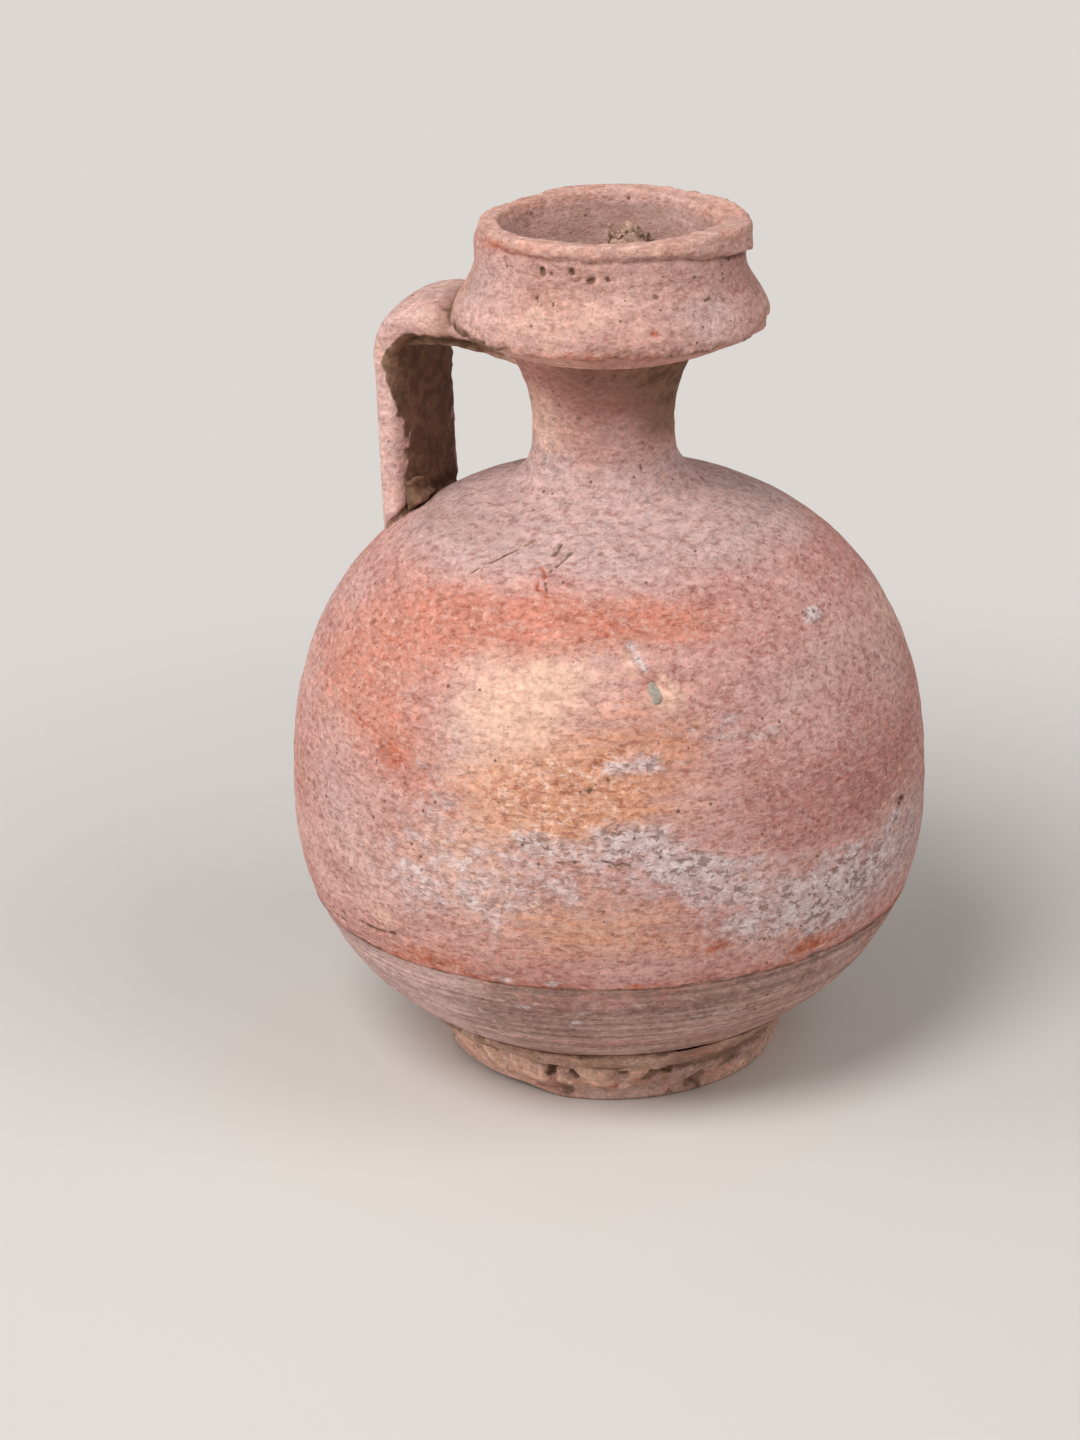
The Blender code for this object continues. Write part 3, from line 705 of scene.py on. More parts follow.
def foot_radius(height):
    return np.interp(height, face_line[:, 1], face_line[:, 0])


# Cracks and holes, and the ledge where the smeared luting ends
foot_marks = (
    ([(-50.5, 10.5), (-49.0, 8.6), (-47.0, 7.0)], 1.10, 1.60, "soil"),
    ([(-19.0, 11.0), (-18.6, 9.4), (-20.4, 8.2), (-20.8, 6.8)], 0.85, 1.80, "soil"),
    ([(-26.0, 9.6), (-22.5, 8.6)], 0.50, 0.70, "soil"),
    ([(-13.5, 7.6), (-12.0, 6.4)], 0.70, 0.80, "soil"),
    ([(2.0, 9.3), (3.0, 8.2)], 1.00, 1.80, "soil"),
    ([(13.0, 8.0), (15.0, 7.0), (18.0, 6.5), (21.0, 6.5), (22.5, 7.4)], 0.55, 1.10, "soil"),
    ([(-1.0, 3.6), (1.0, 4.2)], 0.45, 0.60, "ember"),
    ([(46.0, 8.0), (50.0, 8.6), (54.0, 10.2)], 0.70, 1.00, "soil"),
    ([(96.0, 9.0), (100.0, 7.0), (106.0, 7.6)], 0.80, 1.20, "soil"),
    ([(148.0, 10.0), (152.0, 6.8)], 0.90, 1.30, "soil"),
    ([(-98.0, 8.6), (-92.0, 6.2)], 0.90, 1.20, "soil"),
    ([(-142.0, 9.6), (-138.0, 7.4), (-132.0, 7.0)], 0.80, 1.20, "soil"),
)
# Lumps by turn, height, size and how far they stand out
foot_lumps = (
    (-54, 8.8, 2.4, 0.9), (-43, 9.0, 2.6, 1.3), (-40, 6.0, 2.4, 0.8), (-31, 8.4, 2.8, 1.1),
    (-24, 6.2, 2.2, 0.9), (-16, 5.4, 2.0, 1.1), (-9, 8.8, 2.4, 0.8), (-4, 6.0, 2.2, 0.7),
    (8, 7.6, 2.2, 0.8), (48, 10.0, 2.2, 1.4), (57, 9.2, 2.0, 1.2), (75, 5.0, 4.0, 0.6),
    (125, 8.5, 4.0, 0.9), (-120, 7.5, 3.5, 0.9), (170, 8.0, 4.0, 0.8),
)
mesh, points, normals = meshed("ring_foot", spun(outline, sides=520))
turn, out, up = seen(points)
facing = facing_out(points, normals, 0.0, 20.0)
push = -0.4 + uneven(points, (0.90, (9, 9, 6), 16), (0.95, 4.6, 17), (0.34, 1.9, 18),
                     (0.10, 0.9, 59))
ledge_height = 6.2 + 1.1 * clouds(spot(turn, 40.0, 0.0), 4.5, 60)
recess = between(turn, 14.0, 20.0, 62.0, 100.0)
recess *= rise_between(up - ledge_height, -0.3, 0.4)
wear_and_painted_light = between(turn, -88.0, -60.0, -34.0, -16.0)
push -= 1.5 * recess + 0.9 * wear_and_painted_light * np.clip(1 - up / 11.0, 0, 1)
for middle, height, size, depth in foot_lumps:
    away = np.hypot(np.radians((turn - middle + 180) % 360 - 180) * out, up - height)
    push += depth * np.exp(-((away / size) ** 4))
# The raised lumps are painted paler as a painted highlight, and so are the low edge on the right
# and the worn slope at the left, as painted light; the slope's wear itself is real.
lit_lumps = rise_between(push, -0.1, 0.7)
painted_lit_low_edge = (1 - rise_between(up, 1.5, 5.5)) * rise_between(turn, 0.0, 40.0)
bare = (1 - wear_and_painted_light) * (1 - 0.5 * recess)
stains = {
    "flush": 0.4 * patches(points, 7.0, 19, 0.0, 0.4),
    "ember": 0.4 * patches(points, 4.5, 61, 0.25, 0.5),
    "pale": 1.0 * lit_lumps + 0.5 * wear_and_painted_light + 0.6 * painted_lit_low_edge,
    "ochre": 0.4 * patches(points, 8.0, 53, -0.2, 0.4),
    "loam": 0.4 * recess + 0.4 * rise_between(-push, 0.2, 0.9),
    "soil": 0.6 * rise_between(-push + 0.5 * clouds(points, 3.4, 12), 0.6, 1.1) * bare,
}
push += marked(points, foot_marks, foot_radius, stains)
points += normals * (push * facing * rise_between(up, 0.2, 2.0))[:, None]
points[:, 2] += 1.7 * wear_and_painted_light * (1 - rise_between(up, 0.0, 5.0)) * rise_between(out, 30.0, 34.0)
points[:, 2] = np.maximum(points[:, 2], 0.0)
foot_clay = terracotta("hand_finished_terracotta", "E8C5B8", "D4AC9D", wheel_relief=0.2,
                       stroke=0.7, grit=1.5)
finished(mesh, points, stains, foot_clay, "trimmed_clay", "foot_ring")


# Luting round the foot
# A roll of soft clay pressed into the corner between the ring and the bowl with the fingertips,
# smeared down over the ring in places and left as crumbs and gaps in others, and full of earth.

luting_line = evenly([
    (38.6, 8.8), (40.1, 9.2), (41.6, 10.6), (43.0, 12.1), (44.2, 13.4), (43.9, 14.6), (42.8, 14.9),
    (40.5, 13.4), (38.8, 11.0), (38.6, 8.8),
], spacing=0.5)[:-1]
mesh, points, normals = meshed("foot_luting", spun(luting_line, sides=480))
turn, out, up = seen(points)
recess = between(turn, 14.0, 20.0, 55.0, 80.0)
pressed = -0.25 + uneven(points, (0.65, (9, 9, 30), 20), (0.50, 4.0, 21), (0.18, 1.7, 22))
pressed -= 0.7 * recess
points += normals * pressed[:, None]
stains = {
    "loam": 0.2 + 0.25 * recess + 0.5 * clouds(points, 4.5, 12),
    "soil": 0.6 * patches(points, 5.0, 76, 0.1, 0.45) * (1 - 0.6 * recess),
    "flush": 0.4 * patches(points, 9.0, 19, 0.0, 0.5),
    # Raised places are painted paler, a painted highlight.
    "pale": 0.5 * rise_between(pressed, 0.0, 0.6) * (1 - recess),
}
luting_clay = terracotta("finger_pressed_terracotta", "D3AE9C", "B8937F", wheel_relief=0.1,
                         stroke=0.6, grit=1.8)
finished(mesh, points, stains, luting_clay, "luting_clay", "foot_lute")


# Neck
# A narrow waisted tube thrown apart and set in the hole at the crown. The corner at its foot was
# filled with soft clay and wiped round, so neck and shoulder run into each other.

neck_radius = 15.4
neck_bore = 10.0
neck_foot = 132.55
neck_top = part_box("neck")[1].z * 1000
neck_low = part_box("neck")[0].z * 1000
neck_waist = neck_foot + 11.8
neck_lap = 0.8
foot_flare = 0.8
mouth_flare = 5.4
fillet_reach = 9.0
fillet_rise = 7.5
fillet_sunk = 0.4
feather_edge = 0.6
heights = np.linspace(neck_foot, neck_top + neck_lap, 120)
lower = np.clip((neck_waist - heights) / (neck_waist - neck_foot), 0, 1)
upper = np.clip((heights - neck_waist) / (neck_top - neck_waist), 0, 1.05)
side_out = neck_radius + foot_flare * lower ** 2 + mouth_flare * upper ** 2
side_line = np.stack([side_out, heights], axis=1)
sweep = np.radians(np.linspace(90, 0, 24))
fillet_out = neck_radius + 0.1 + fillet_reach * (1 - np.cos(sweep))
fillet_up = shoulder_height(fillet_out) + fillet_rise * (1 - np.sin(sweep)) - fillet_sunk
fillet_up -= feather_edge * np.sin(sweep) ** 6
fillet_line = np.stack([fillet_out, fillet_up], axis=1)
side_line = side_line[side_line[:, 1] > fillet_line[-1, 1] + 0.4]
outline = np.concatenate([
    evenly(np.concatenate([fillet_line, side_line]), spacing=0.5),
    evenly([(neck_bore, neck_top + neck_lap), (neck_bore, neck_low)], spacing=1.6),
    [(neck_hole, neck_low), (neck_hole, 130.0)],
    [(fillet_out[0] - 1.5, shoulder_height(fillet_out[0]) - 2.0)],
])
mesh, points, normals = meshed("neck_tube", spun(outline, sides=280))
turn, out, up = seen(points)
outside = facing_out(points, normals, -1.0, 2.0)
outside *= rise_between(out, 10.5, 11.5)
neck_marks = (
    ([(29.2, 137.4), (29.6, 138.4)], 0.45, 0.30, "soil"),
    ([(-20.0, 148.6), (-18.6, 148.4)], 0.55, 0.35, "soil"),
    ([(12.0, 144.2), (13.0, 143.8)], 0.50, 0.35, "soil"),
    ([(-36.0, 152.6), (-35.0, 152.2)], 0.60, 0.30, "soil"),
    ([(24.0, 152.0), (26.0, 151.6)], 0.50, 0.30, "soil"),
    ([(-4.0, 154.4), (-2.6, 154.2)], 0.45, 0.30, "soil"),
)
stains = stained(points, {"bloom": [(-52, 138.6, 1.2, 1.2, 1.0), (-44, 147.0, 0.9, 0.8, 0.8)]})
# Painted light and shade on the neck's sides: pale and ash make the lit left side lighter, and
# dusk, loam and soil make the shaded right side darker.
painted_lit_side = between(-turn, 10.0, 55.0, 110.0, 150.0)
painted_shade_side = between(turn, 0.0, 60.0, 100.0, 150.0) * rise_between(up, 136.0, 146.0)
greyed = np.clip(1 - rise_between(up, 132.0, 145.0) + 0.3 * clouds(points, 9.0, 4), 0, 1)
stains["ash"] = np.clip(greyed + 0.6 * painted_lit_side, 0, 1)
stains["flush"] = 0.2 * patches(points, 9.0, 27, 0.0, 0.5)
stains["dusk"] = 0.25 * patches(points, (9, 9, 6), 62, -0.05, 0.4)
# Dusk, ember, loam and soil darken the neck towards the top: partly earth, partly a painted shadow
# of the flange above.
stains["dusk"] += 0.9 * rise_between(up, 143.0, 158.0) + 0.45 * painted_shade_side
stains["ember"] = 0.4 * rise_between(up, 149.0, 160.0) * (1 - 0.6 * painted_lit_side)
stains["pale"] = 0.55 * painted_lit_side * between(up, 136.0, 144.0, 151.0, 159.0)
stains["loam"] = 0.8 * rise_between(up, 141.0, 160.0) * (1 - 0.7 * painted_lit_side) + 0.7 * painted_shade_side
earthy = 0.45 + 0.10 * clouds(points, 7.0, 12) - 0.2 * painted_lit_side
stains["soil"] = rise_between(up, 146.0, 161.0) * earthy
stains["soil"] += 0.45 * painted_shade_side
push = -0.1 + uneven(points, (0.35, 18.0, 24), (0.14, (40, 40, 2.0), 25), (0.12, 2.2, 26))
push += marked(points, neck_marks, lambda height: neck_radius + 0.6, stains)
points += normals * (push * outside)[:, None]
pink_clay = terracotta("dusty_pink_terracotta", "D5A99F", "C39388", wheel_relief=0.6, stroke=0.75,
                       grit=1.4, pitted=0.6)
finished(mesh, points, stains, pink_clay, "pink_clay", "neck", "neck_lute")


# Collared mouth
# A deep collar thrown apart and set on the neck a little off its axis: a flared flange with a worn,
# chipped edge, a hollow-sided band and a flat lip, cut square outside, that hangs over on one side.

collar_offset = 2.0
collar_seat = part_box("collar")[0].z * 1000
collar_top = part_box("collar")[1].z * 1000
flange_radius = 33.8
flange_edge = 1.4
flange_middle = collar_seat + 5.4
collar_waist = 28.6
waist_height = collar_top - 8.5
lip_radius = collar_waist
lip_width = 5.2
collar_lap = 0.3
seat_radius = 23.0
lip_outer_rounding = 0.8
lip_inner_rounding = 1.1
lip_spring = collar_top - lip_inner_rounding
cup_bore = neck_bore + collar_offset


def collar_side(height):
    """The collar's outer radius between the flange and the waist."""
    share = np.clip((height - flange_middle) / (waist_height - flange_middle), 0, 1)
    return collar_waist + (flange_radius - collar_waist) * (1 + np.cos(np.pi * share)) / 2


edge_turns = np.radians(np.linspace(-75, 0, 8))
flange_line = np.stack([
    flange_radius - flange_edge * (1 - np.cos(edge_turns)),
    flange_middle + flange_edge * np.sin(edge_turns),
], axis=1)
heights = np.linspace(flange_middle, waist_height, 60)[1:]
band_line = np.stack([collar_side(heights), heights], axis=1)
lip_turns = np.radians(np.linspace(0, 90, 16))
outer_corner = np.stack([
    lip_radius - lip_outer_rounding * (1 - np.cos(lip_turns)),
    collar_top - lip_outer_rounding * (1 - np.sin(lip_turns)),
], axis=1)
inner_corner = np.stack([
    lip_radius - lip_width + lip_inner_rounding * (1 - np.sin(lip_turns)),
    collar_top - lip_inner_rounding * (1 - np.cos(lip_turns)),
], axis=1)
lip_line = np.concatenate([outer_corner, inner_corner])
shares = 1 - np.linspace(0, 1, 60)[1:]
cup_line = np.stack([
    cup_bore + (lip_line[-1, 0] - cup_bore) * shares,
    collar_seat + (lip_spring - collar_seat) * shares ** 2,
], axis=1)
under_line = evenly([
    (cup_bore, collar_seat - collar_lap), (seat_radius, collar_seat - collar_lap), flange_line[0],
], spacing=0.7)
wall_line = evenly(np.concatenate([flange_line, band_line, lip_line, cup_line]), spacing=0.5)
outline = np.concatenate([under_line[:-1], wall_line])
mesh, points, normals = meshed("collared_mouth", spun(outline, sides=440))
turn, out, up = seen(points)
outside = facing_out(points, normals, -2.0, 4.0)
right_side = between(turn, 12.0, 70.0, 110.0, 150.0)
left_side = between(-turn, 40.0, 80.0, 130.0, 165.0)
from_top = collar_top - up

# The lip stands out over a ragged groove, which runs lower down round the right side
ragged = clouds(spot(turn, 29.0, 0 * up), 5.0, 31) + 0.6 * clouds(points, 2.2, 63)
lip_foot = 2.5 + 0.5 * ragged + 3.2 * right_side
lip_share = (1 - rise_between(from_top, lip_foot - 0.7, lip_foot)) * outside
groove = bell(from_top - lip_foot - 0.35, 0.55) * outside
flange_share = bell(up - flange_middle + 0.2, 1.8) * outside
push = uneven(points, (0.28, 22.0, 28), (0.12, (50, 50, 2.0), 29), (0.09, 2.0, 30))
rim = 1 - rise_between(from_top, 1.2, 3.0)
push += rim * uneven(points, (0.28, 4.2, 81), (0.20, 1.7, 82))
push += lip_share * (0.55 + 0.20 * ragged + 0.45 * right_side - 0.55 * left_side)
push += 0.9 * bell(turn - 72, 12) * lip_share
push -= groove * (0.45 + 0.45 * right_side - 0.3 * left_side)
push -= 1.4 * left_side * (1 - rise_between(from_top, 0.3, 4.5)) * outside
chips = patches(points, (5, 5, 9), 32, 0.08, 0.36)
push -= flange_share * (0.9 * chips + 0.45 * patches(points, 2.2, 33, 0.0, 0.4))
push += 0.30 * flange_share * clouds(points, 1.5, 65)
collar_marks = (
    ([(-29.3, 183.8), (-28.7, 182.8)], 0.62, 0.9, "soil"),
    ([(-16.2, 184.2), (-15.6, 183.7)], 0.60, 0.8, "soil"),
    ([(-8.6, 181.8), (-7.4, 182.2)], 0.66, 0.8, "soil"),
    ([(-1.5, 182.4), (-1.0, 182.0)], 0.45, 0.5, "soil"),
    ([(-12.4, 182.4), (-12.0, 182.0)], 0.40, 0.4, "soil"),
    ([(-31.0, 178.0), (-30.4, 177.4)], 0.50, 0.5, "soil"),
    ([(-23.6, 177.0), (-23.2, 176.6)], 0.40, 0.4, "soil"),
    ([(18.0, 178.2), (18.6, 178.0)], 0.55, 0.5, "soil"),
    ([(15.0, 171.6), (16.4, 171.4)], 0.60, 0.5, "ember"),
    ([(40.0, 176.0), (43.0, 176.4)], 0.40, 0.4, "soil"),
)
inner = (1 - outside) * rise_between(from_top, 1.6, 3.2) * rise_between(up, 163.0, 166.0)
edge_spots = patches(points, 2.6, 69, 0.1, 0.4)
stains = stained(points, {
    "ember": [(-6, 166.3, 9, 1.6, 0.6), (14, 166.3, 5, 1.4, 0.5), (-28, 166.6, 9, 1.4, 0.5),
              (40, 166.8, 8, 1.2, 0.4), (-44, 187.0, 10, 1.4, 0.5), (-28, 185.9, 7, 1.0, 0.4),
              (-62, 186.5, 8, 1.6, 0.6)],
    "ash": [(-78, 176.0, 9, 8.0, 0.8), (40, 174.0, 14, 5.0, 0.6)],
    "soil": [(-70, 166.4, 12, 1.6, 0.8), (-48, 166.2, 9, 1.4, 0.7), (36, 165.6, 8, 1.2, 0.7)],
    "ochre": [(-88, 176.0, 8, 8.0, 0.5)],
    "loam": [(-80, 177.0, 9, 8.0, 0.45), (-40, 178.0, 20, 5.0, 0.25)],
    "pale": [(-20, 174.0, 16, 7.0, 0.3), (12, 178.0, 12, 5.0, 0.2)],
})
push += marked(points, collar_marks, collar_side, stains)
stains["flush"] = 0.45 * rim * patches(points, 5.0, 35, -0.3, 0.3)
stains["flush"] += 0.25 * flange_share * patches(points, 6.0, 36, -0.2, 0.3)
stains["pale"] += 0.2 * patches(points, 5.0, 38, 0.0, 0.5) * outside + 0.32 * rim
stains["ash"] += 0.25 * patches(points, 20.0, 37, -0.2, 0.4) + 0.5 * inner + 0.2 * rim
# Inside the cup, loam and soil darken the wall below the rim: earth, and painted shade that is
# darkest on the back wall.
painted_cup_shade = rise_between(np.cos(np.radians(turn - 160.0)), -0.5, 0.8)
lumpy = clouds(points, 7.0, 39)
stains["loam"] += 0.3 * flange_share + inner * (0.20 + 0.35 * painted_cup_shade + 0.3 * lumpy)
stains["soil"] += inner * (0.15 * painted_cup_shade + 0.2 * lumpy)
# Soil in the groove under the lip, strongest on the right where the lip hangs over, is earth and a
# painted shadow of the overhang. The spots along the flange's edge are earth.
stains["soil"] += groove * (0.15 + 0.45 * right_side) + 0.5 * flange_share * edge_spots
points += normals * push[:, None]
sunk = 0.35 + 0.35 * clouds(spot(turn, 30.0, 0 * up), 14.0, 34)
sunk += 0.9 * between(turn, 55.0, 95.0, 140.0, 170.0)
points[:, 2] -= rise_between(up, 181.0, 186.0) * sunk
points[:, 2] = np.minimum(points[:, 2], collar_top)
points[:, 0] += collar_offset
finished(mesh, points, stains, pink_clay, "pink_clay", "collar")


# Strap handle
# A strap pulled by hand, crowned outside and flat inside, pressed on to the collar's flange, bent
# down and luted to the shoulder. Its inner side is rough and dark with earth.

strap_width = 28.6
strap_thickness = 9.0
outer_squareness = 2.0
inner_squareness = 3.8
strap_spread = 0.13
strap_spread_power = 4
strap_reach = 46.4
strap_bend = 9.3
strap_lean = 1.4
strap_top = flange_middle - 1.6
strap_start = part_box("handle_strap")[1].x * 1000
root_height = shoulder_height(strap_reach + strap_thickness) - body_wall / 2

bend_turns = np.linspace(0, np.pi / 2, 40)
bend_line = np.stack([
    strap_bend - strap_reach - strap_bend * np.sin(bend_turns),
    strap_top - strap_bend * (1 - np.cos(bend_turns)),
], axis=1)
root = np.array([(strap_lean - strap_reach, root_height)])
middle_line = evenly(np.concatenate([[(strap_start, strap_top)], bend_line, root]), spacing=0.6)
corner_count = 112
corner_turns = 2 * np.pi * (np.arange(corner_count) + 0.5) / corner_count
squareness = np.where(np.sin(corner_turns) > 0, outer_squareness, inner_squareness)
across = np.sign(np.cos(corner_turns)) * np.abs(np.cos(corner_turns)) ** (2 / squareness)
through = np.sign(np.sin(corner_turns)) * np.abs(np.sin(corner_turns)) ** (2 / squareness)
directions = np.gradient(middle_line, axis=0)
directions /= np.linalg.norm(directions, axis=1)[:, None]
bm = bmesh.new()
rings = []
for index, ((x, z), (along_x, along_z)) in enumerate(zip(middle_line, directions)):
    ends = abs(2 * index / (len(middle_line) - 1) - 1) ** strap_spread_power
    half_width = strap_width / 2 * (1 + strap_spread * ends)
    corners = []
    for side, depth in zip(across * half_width, through * strap_thickness / 2):
        corners.append(bm.verts.new((x + along_z * depth, side, z - along_x * depth)))
    rings.append([bm.edges.new(pair) for pair in zip(corners, corners[1:] + corners[:1])])
for ring, following in zip(rings, rings[1:]):
    bmesh.ops.bridge_loops(bm, edges=ring + following)
for ring in (rings[0], rings[-1]):
    bmesh.ops.contextual_create(bm, geom=ring)
mesh, points, normals = meshed("strap_handle", bm)
turn, out, up = seen(points)
outward = np.tile(through, len(middle_line))
sideways = np.tile(across, len(middle_line))

# Earth lies on the whole inner side. It reaches out over the edges at the bend, and less below it
from_collar = np.hypot(points[:, 0] - collar_offset, points[:, 1]) - collar_side(up)
from_body = up - shoulder_height(out)
earth_edge = -0.84 + 0.64 * bell(up - 154.5, 8.0)
earth_edge += uneven(points, (0.15, 3.4, 44), (0.12, 1.5, 67))
earthy = rise_between(earth_edge - outward, -0.10, 0.10)
joint_crack = bell(from_collar - 0.5, 0.7) * rise_between(outward, -0.4, 0.2)
furrow = bell(from_body - 0.7, 1.1) * (1 - rise_between(outward, 0.1, 0.6))
near_ends = bell(from_collar, 5.0) + bell(from_body, 4.0)
gritty = earthy * rise_between(np.abs(sideways), 0.70, 0.95)
rough = np.clip(0.15 + 0.3 * earthy + 0.7 * gritty + 0.4 * near_ends, 0, 1)
push = -0.1 + uneven(points, (0.30, 16.0, 40), (0.07, 1.5, 43))
push += rough * uneven(points, (0.35, 4.5, 41), (0.32, 1.9, 42))
push += 0.2 * gritty * patches(points, 1.4, 68, 0.0, 0.4)
push -= 0.6 * joint_crack + 0.6 * furrow
stains = {
    "ash": 0.35 * patches(points, 14.0, 4, -0.2, 0.4),
    "pale": 0.4 * patches(points, 6.0, 46, 0.0, 0.5) * (1 - earthy),
    "flush": 0.25 * patches(points, 11.0, 47, 0.1, 0.5),
    "loam": 0.6 * bell(from_collar - 1.5, 3.0) + 0.6 * earthy,
    "soil": earthy * (0.85 + 0.25 * clouds(points, 5.0, 45)) + 0.8 * joint_crack + 0.9 * furrow,
}
pit_place = (-31.3, -11.5, 168.5)
pit = bell(np.linalg.norm(points - pit_place, axis=1), 0.9)
push -= 0.8 * pit
stains["soil"] = np.clip(stains["soil"] + 0.9 * pit, 0, 1)
points += normals * push[:, None]
strap_clay = terracotta("pulled_terracotta", "E6C1B8", "D7ADA3", wheel_relief=0.1, stroke=0.7,
                        grit=1.4)
finished(mesh, points, stains, strap_clay, "pink_clay", "handle_strap")


# Wads of luting clay at the handle's two ends
# Soft clay thumbed into the corner under the collar and into the corner at the shoulder. They are
# lumpy and gritty, and earth clings to them.

def made_mesh(holder):
    """The mesh that an object's modifier or curve makes. The object itself is taken away."""
    bpy.context.scene.collection.objects.link(holder)
    bpy.context.view_layer.update()
    made = holder.evaluated_get(bpy.context.evaluated_depsgraph_get())
    mesh = bpy.data.meshes.new_from_object(made)
    bpy.data.objects.remove(holder)
    return mesh


def kneaded(name, node, voxel, smoothings):
    """A wad of clay from a CAD node: its loose faces joined, remeshed to even small faces."""
    bm = bmesh.new()
    bm.from_mesh(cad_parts[node].data)
    bmesh.ops.scale(bm, vec=(1000, 1000, 1000), verts=bm.verts)
    bmesh.ops.remove_doubles(bm, verts=bm.verts, dist=0.005)
    block = bpy.data.meshes.new(name + "_block")
    bm.to_mesh(block)
    bm.free()
    wad = bpy.data.objects.new(name + "_block", block)
    remesh = wad.modifiers.new("even", "REMESH")
    remesh.mode = "VOXEL"
    remesh.voxel_size = voxel
    bm = bmesh.new()
    bm.from_mesh(made_mesh(wad))
    for repeat in range(smoothings):
        bmesh.ops.smooth_vert(bm, verts=bm.verts, factor=0.5,
                              use_axis_x=True, use_axis_y=True, use_axis_z=True)
    return meshed(name, bm)


mesh, points, normals = kneaded("top_wad", "handle_top_lute", voxel=0.45, smoothings=14)
push = 0.60 + uneven(points, (0.45, 4.5, 48), (0.45, 1.9, 49))
points += normals * push[:, None]
by_neck = rise_between(points[:, 0], -29.0, -17.0)
wad_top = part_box("handle_top_lute")[1].z * 1000
points[:, 2] = wad_top + (points[:, 2] - wad_top) * (0.72 + 0.16 * by_neck)
points[:, 0] += 3.5 * by_neck
# The wad's downward-facing lower edge has less soil and more loam, so it is painted lighter as a
# painted highlight. The soil over the rest is earth and painted shade under the strap's bend; by
# the neck it gives way to pale clay.
painted_lit_lower_edge = rise_between(-normals[:, 2], 0.0, 0.6)
stains = {
    "pale": 0.5 * by_neck,
    "loam": 0.5 * painted_lit_lower_edge,
    "soil": np.clip(1.0 - 0.4 * painted_lit_lower_edge - 0.8 * by_neck + 0.6 * clouds(points, 2.5, 50), 0, 1),
}
finished(mesh, points, stains, luting_clay, "luting_clay", "handle_top_lute")

# The lower wad thins out towards the far side, where it is only smeared into the corner
mesh, points, normals = kneaded("root_wad", "handle_root_lute", voxel=0.4, smoothings=5)
corner = np.array(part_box("handle_root_lute")[0]) * 1000
thinned = 0.8 - 0.72 * rise_between(points[:, 1], -9.0, 6.0)
push = 0.15 + uneven(points, (0.50, 2.6, 48), (0.50, 1.3, 49))
points += normals * (push * thinned)[:, None]
points[:, 0] = corner[0] + (points[:, 0] - corner[0]) * thinned
points[:, 1] -= 0.25 * np.maximum(points[:, 1] + 5.0, 0.0)
points[:, 2] = corner[2] + (points[:, 2] - corner[2]) * thinned
stains = {"soil": 1.3 + 0.3 * clouds(points, 3.0, 50)}
finished(mesh, points, stains, luting_clay, "luting_clay", "handle_root_lute")


# Dried earth in the mouth
# A small clod with dry rootlets, left from the ground, that clings to the cup's back wall just
# under the lip, and a few crumbs to the left of it.

def cup_spot(turn, height, off_wall):
    """A point by the cup's wall, so far in from it."""
    share = math.sqrt((height - collar_seat) / (lip_spring - collar_seat))
    radius = cup_bore + (lip_line[-1, 0] - cup_bore) * share - off_wall
    return spot(turn, radius, height) + (collar_offset, 0.0, 0.0)


# Crumbs by turn, height and radius, the clod's first
crumbs = (
    (164, 178.0, 3.4), (172, 177.6, 3.0), (156, 177.4, 2.4), (179, 177.0, 1.9), (168, 180.4, 2.0),
    (-141, 178.0, 1.6), (-147, 178.6, 1.1), (-134, 178.2, 1.2), (-162, 177.4, 1.0),
)
rootlet_count = 16
rootlet_steps = 11
rootlet_base = 177.6
bm = bmesh.new()
for turn, height, size in crumbs:
    crumb = bmesh.ops.create_icosphere(bm, subdivisions=4, radius=size)["verts"]
    bmesh.ops.scale(bm, vec=(1.0, 1.0, 0.7), verts=crumb)
    bmesh.ops.translate(bm, vec=cup_spot(turn, height, 0.3 * size), verts=crumb)
rootlets = bpy.data.curves.new("rootlets", "CURVE")
rootlets.dimensions = "3D"
rootlets.bevel_depth = 0.28
rootlets.bevel_resolution = 1
rootlets.use_fill_caps = True
for number in range(rootlet_count):
    rootlet = rootlets.splines.new("POLY")
    rootlet.points.add(rootlet_steps)
    start_turn = 153 + 1.8 * number
    for index, point in enumerate(rootlet.points):
        share = index / rootlet_steps
        bend = math.sin(2.2 * number + 5.0 * share)
        lean = (number * 0.618 % 1 - 0.5) * 16 * share
        arch = math.sin(math.pi * share)
        rise = 4.6 * arch * (0.4 + number * 0.382 % 0.6) + 1.4 * bend * share
        place = cup_spot(start_turn + lean, rootlet_base + rise, off_wall=1.2 + 2.0 * arch)
        point.co = (*place, 1.0)
strands = made_mesh(bpy.data.objects.new("rootlets", rootlets))
mesh, points, normals = meshed("mouth_earth", bm)
points += normals * uneven(points, (0.8, 1.9, 70), (0.5, 0.9, 71))[:, None]
mesh.vertices.foreach_set("co", points.ravel())
bm = bmesh.new()
bm.from_mesh(mesh)
bm.from_mesh(strands)
bpy.data.meshes.remove(mesh)
mesh, points, normals = meshed("mouth_earth", bm)
dry_earth = terracotta("dried_earth", "C4A592", "9F8472", wheel_relief=0.0, stroke=0.8, grit=2.0)
finished(mesh, points, {"soil": 0.15 + 0.4 * clouds(points, 2.0, 72)}, dry_earth, "luting_clay")


# The studio: a pale floor, one large soft lamp in front to the left, a low weak one to the left of
# it that reaches under the collar, and a weak one to the right.
# Where the camera sees the floor far from the jug, it is an even pale tone.

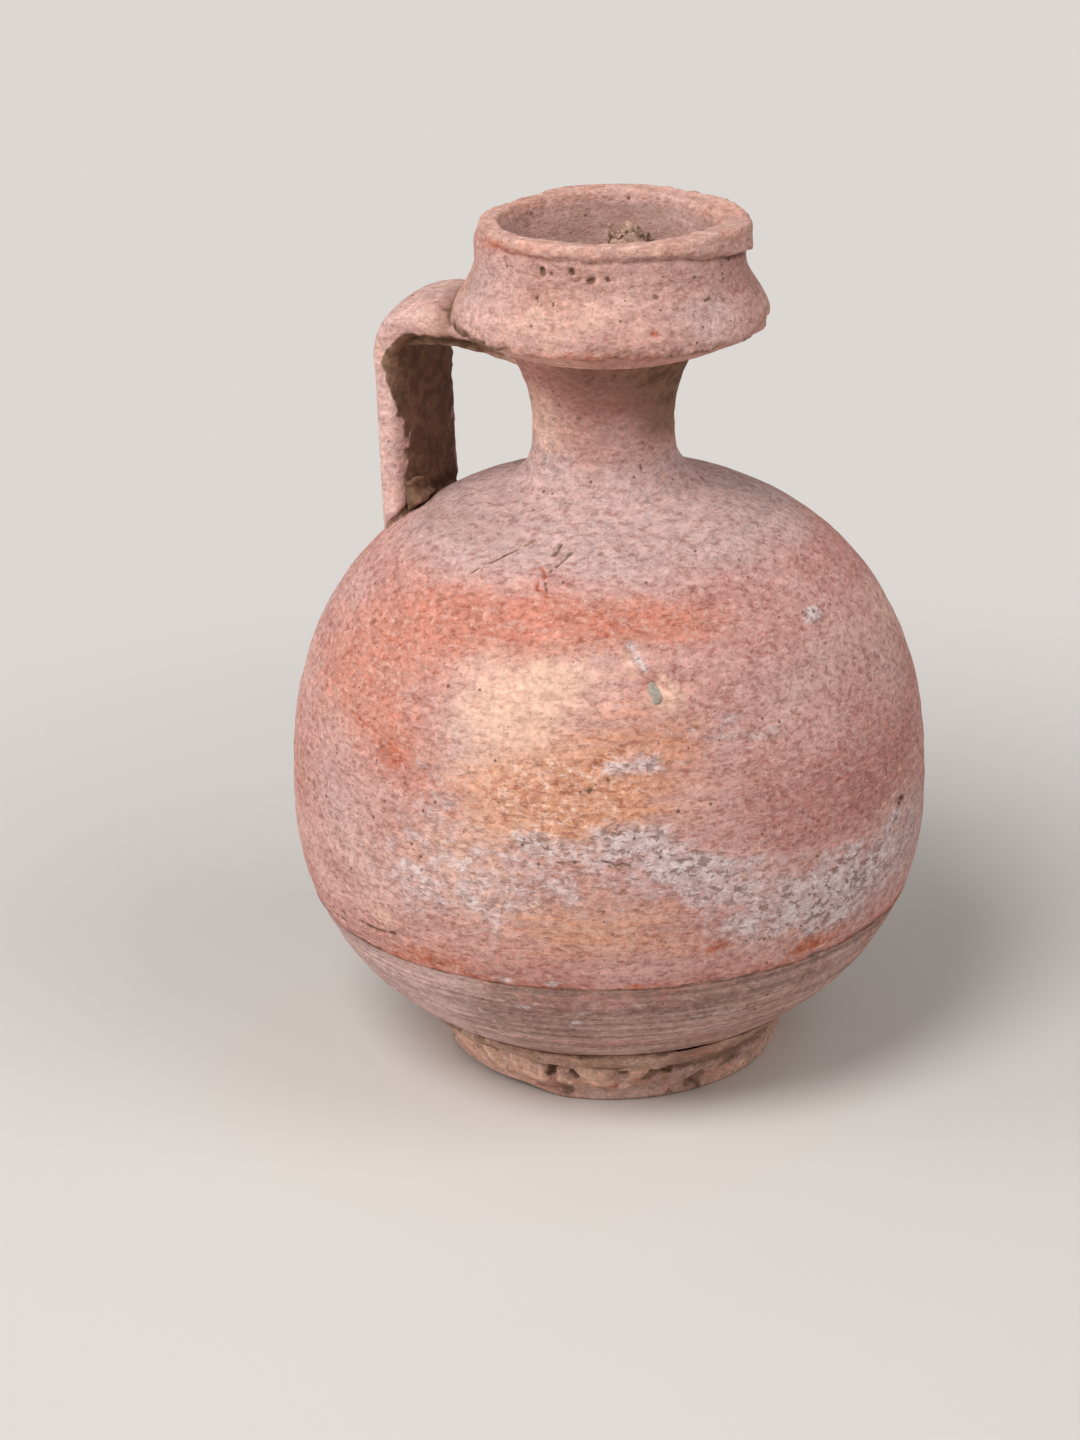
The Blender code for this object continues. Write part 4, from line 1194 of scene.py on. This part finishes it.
def seen_rays(tree_owner):
    """1 for what the camera sees, straight, in a reflection or through something clear."""
    ray = add(tree_owner, "ShaderNodeLightPath", {}).outputs
    rays = ray["Is Camera Ray"]
    for kind in ("Is Glossy Ray", "Is Transmission Ray"):
        rays = add(tree_owner, "ShaderNodeMath", {0: rays, 1: ray[kind]}, operation="ADD")
    return rays


backdrop = linear("DCD7D2")
floor_mesh = bpy.data.meshes.new("studio_floor")
bm = bmesh.new()
bmesh.ops.create_grid(bm, x_segments=1, y_segments=1, size=6.0)
bm.to_mesh(floor_mesh)
bm.free()
paper = bpy.data.materials.new("pale_paper")
paper.use_nodes = True
paper_shader = paper.node_tree.nodes["Principled BSDF"]
paper_shader.inputs["Base Color"].default_value = linear("DDD8D3")
paper_shader.inputs["Roughness"].default_value = 0.95
floor_place = add(paper, "ShaderNodeTexCoord", {}).outputs["Object"]
from_jug = add(paper, "ShaderNodeVectorMath", {0: floor_place}, operation="LENGTH").outputs["Value"]
far_off = add(paper, "ShaderNodeMapRange", {
    "Value": from_jug, "From Min": 0.11, "From Max": 0.34,
}, interpolation_type="SMOOTHSTEP")
even_share = add(paper, "ShaderNodeMath", {0: seen_rays(paper), 1: far_off},
                 operation="MULTIPLY", use_clamp=True)
even_tone = add(paper, "ShaderNodeEmission", {"Color": backdrop, "Strength": 1.0})
papered = add(paper, "ShaderNodeMixShader", {0: even_share, 1: paper_shader, 2: even_tone})
paper_output = paper.node_tree.nodes["Material Output"]
paper.node_tree.links.new(papered.outputs[0], paper_output.inputs["Surface"])
floor_mesh.materials.append(paper)
floor = bpy.data.objects.new("studio_floor", floor_mesh)
bpy.context.scene.collection.objects.link(floor)


def lamp(name, turn, elevation, distance, size, watts):
    """A round soft lamp that looks at the jug's middle, placed in degrees and metres from it."""
    light = bpy.data.lights.new(name, "AREA")
    light.shape = "DISK"
    light.size = size
    light.energy = watts
    holder = bpy.data.objects.new(name, light)
    middle = Vector((0, 0, 0.09))
    level = distance * math.cos(math.radians(elevation))
    place = Vector(spot(turn, level, distance * math.sin(math.radians(elevation)))) + middle
    holder.location = place
    holder.rotation_euler = (middle - place).to_track_quat("-Z", "Y").to_euler()
    bpy.context.scene.collection.objects.link(holder)


lamp("main_lamp", turn=-31, elevation=51, distance=1.3, size=0.6, watts=10.9)
lamp("side_lamp", turn=-80, elevation=20, distance=1.4, size=0.8, watts=5.6)
lamp("fill_lamp", turn=62, elevation=46, distance=1.5, size=1.0, watts=6.2)
world = bpy.data.worlds.new("studio")
world.use_nodes = True
soft_sky = world.node_tree.nodes["Background"]
soft_sky.inputs["Color"].default_value = linear("F0EEEC")
soft_sky.inputs["Strength"].default_value = 0.24
seen_sky = add(world, "ShaderNodeBackground", {"Color": backdrop, "Strength": 1.0})
sky = add(world, "ShaderNodeMixShader", {0: seen_rays(world), 1: soft_sky, 2: seen_sky})
world_output = world.node_tree.nodes["World Output"]
world.node_tree.links.new(sky.outputs[0], world_output.inputs["Surface"])
bpy.context.scene.world = world
bpy.context.scene.view_settings.view_transform = "Standard"

# The camera stands 0.74 m off, a little above the mouth, and looks down past the handle's side
camera = bpy.data.cameras.new("camera")
camera.sensor_fit = "VERTICAL"
camera.sensor_height = 36.0
camera.lens = 90.4
camera_holder = bpy.data.objects.new("camera", camera)
camera_holder.location = (0.31447, -0.67438, 0.3635)
camera_holder.rotation_euler = [math.radians(angle) for angle in (68.838, 1.171, 25.703)]
bpy.context.scene.collection.objects.link(camera_holder)
bpy.context.scene.camera = camera_holder

bpy.context.view_layer.update()
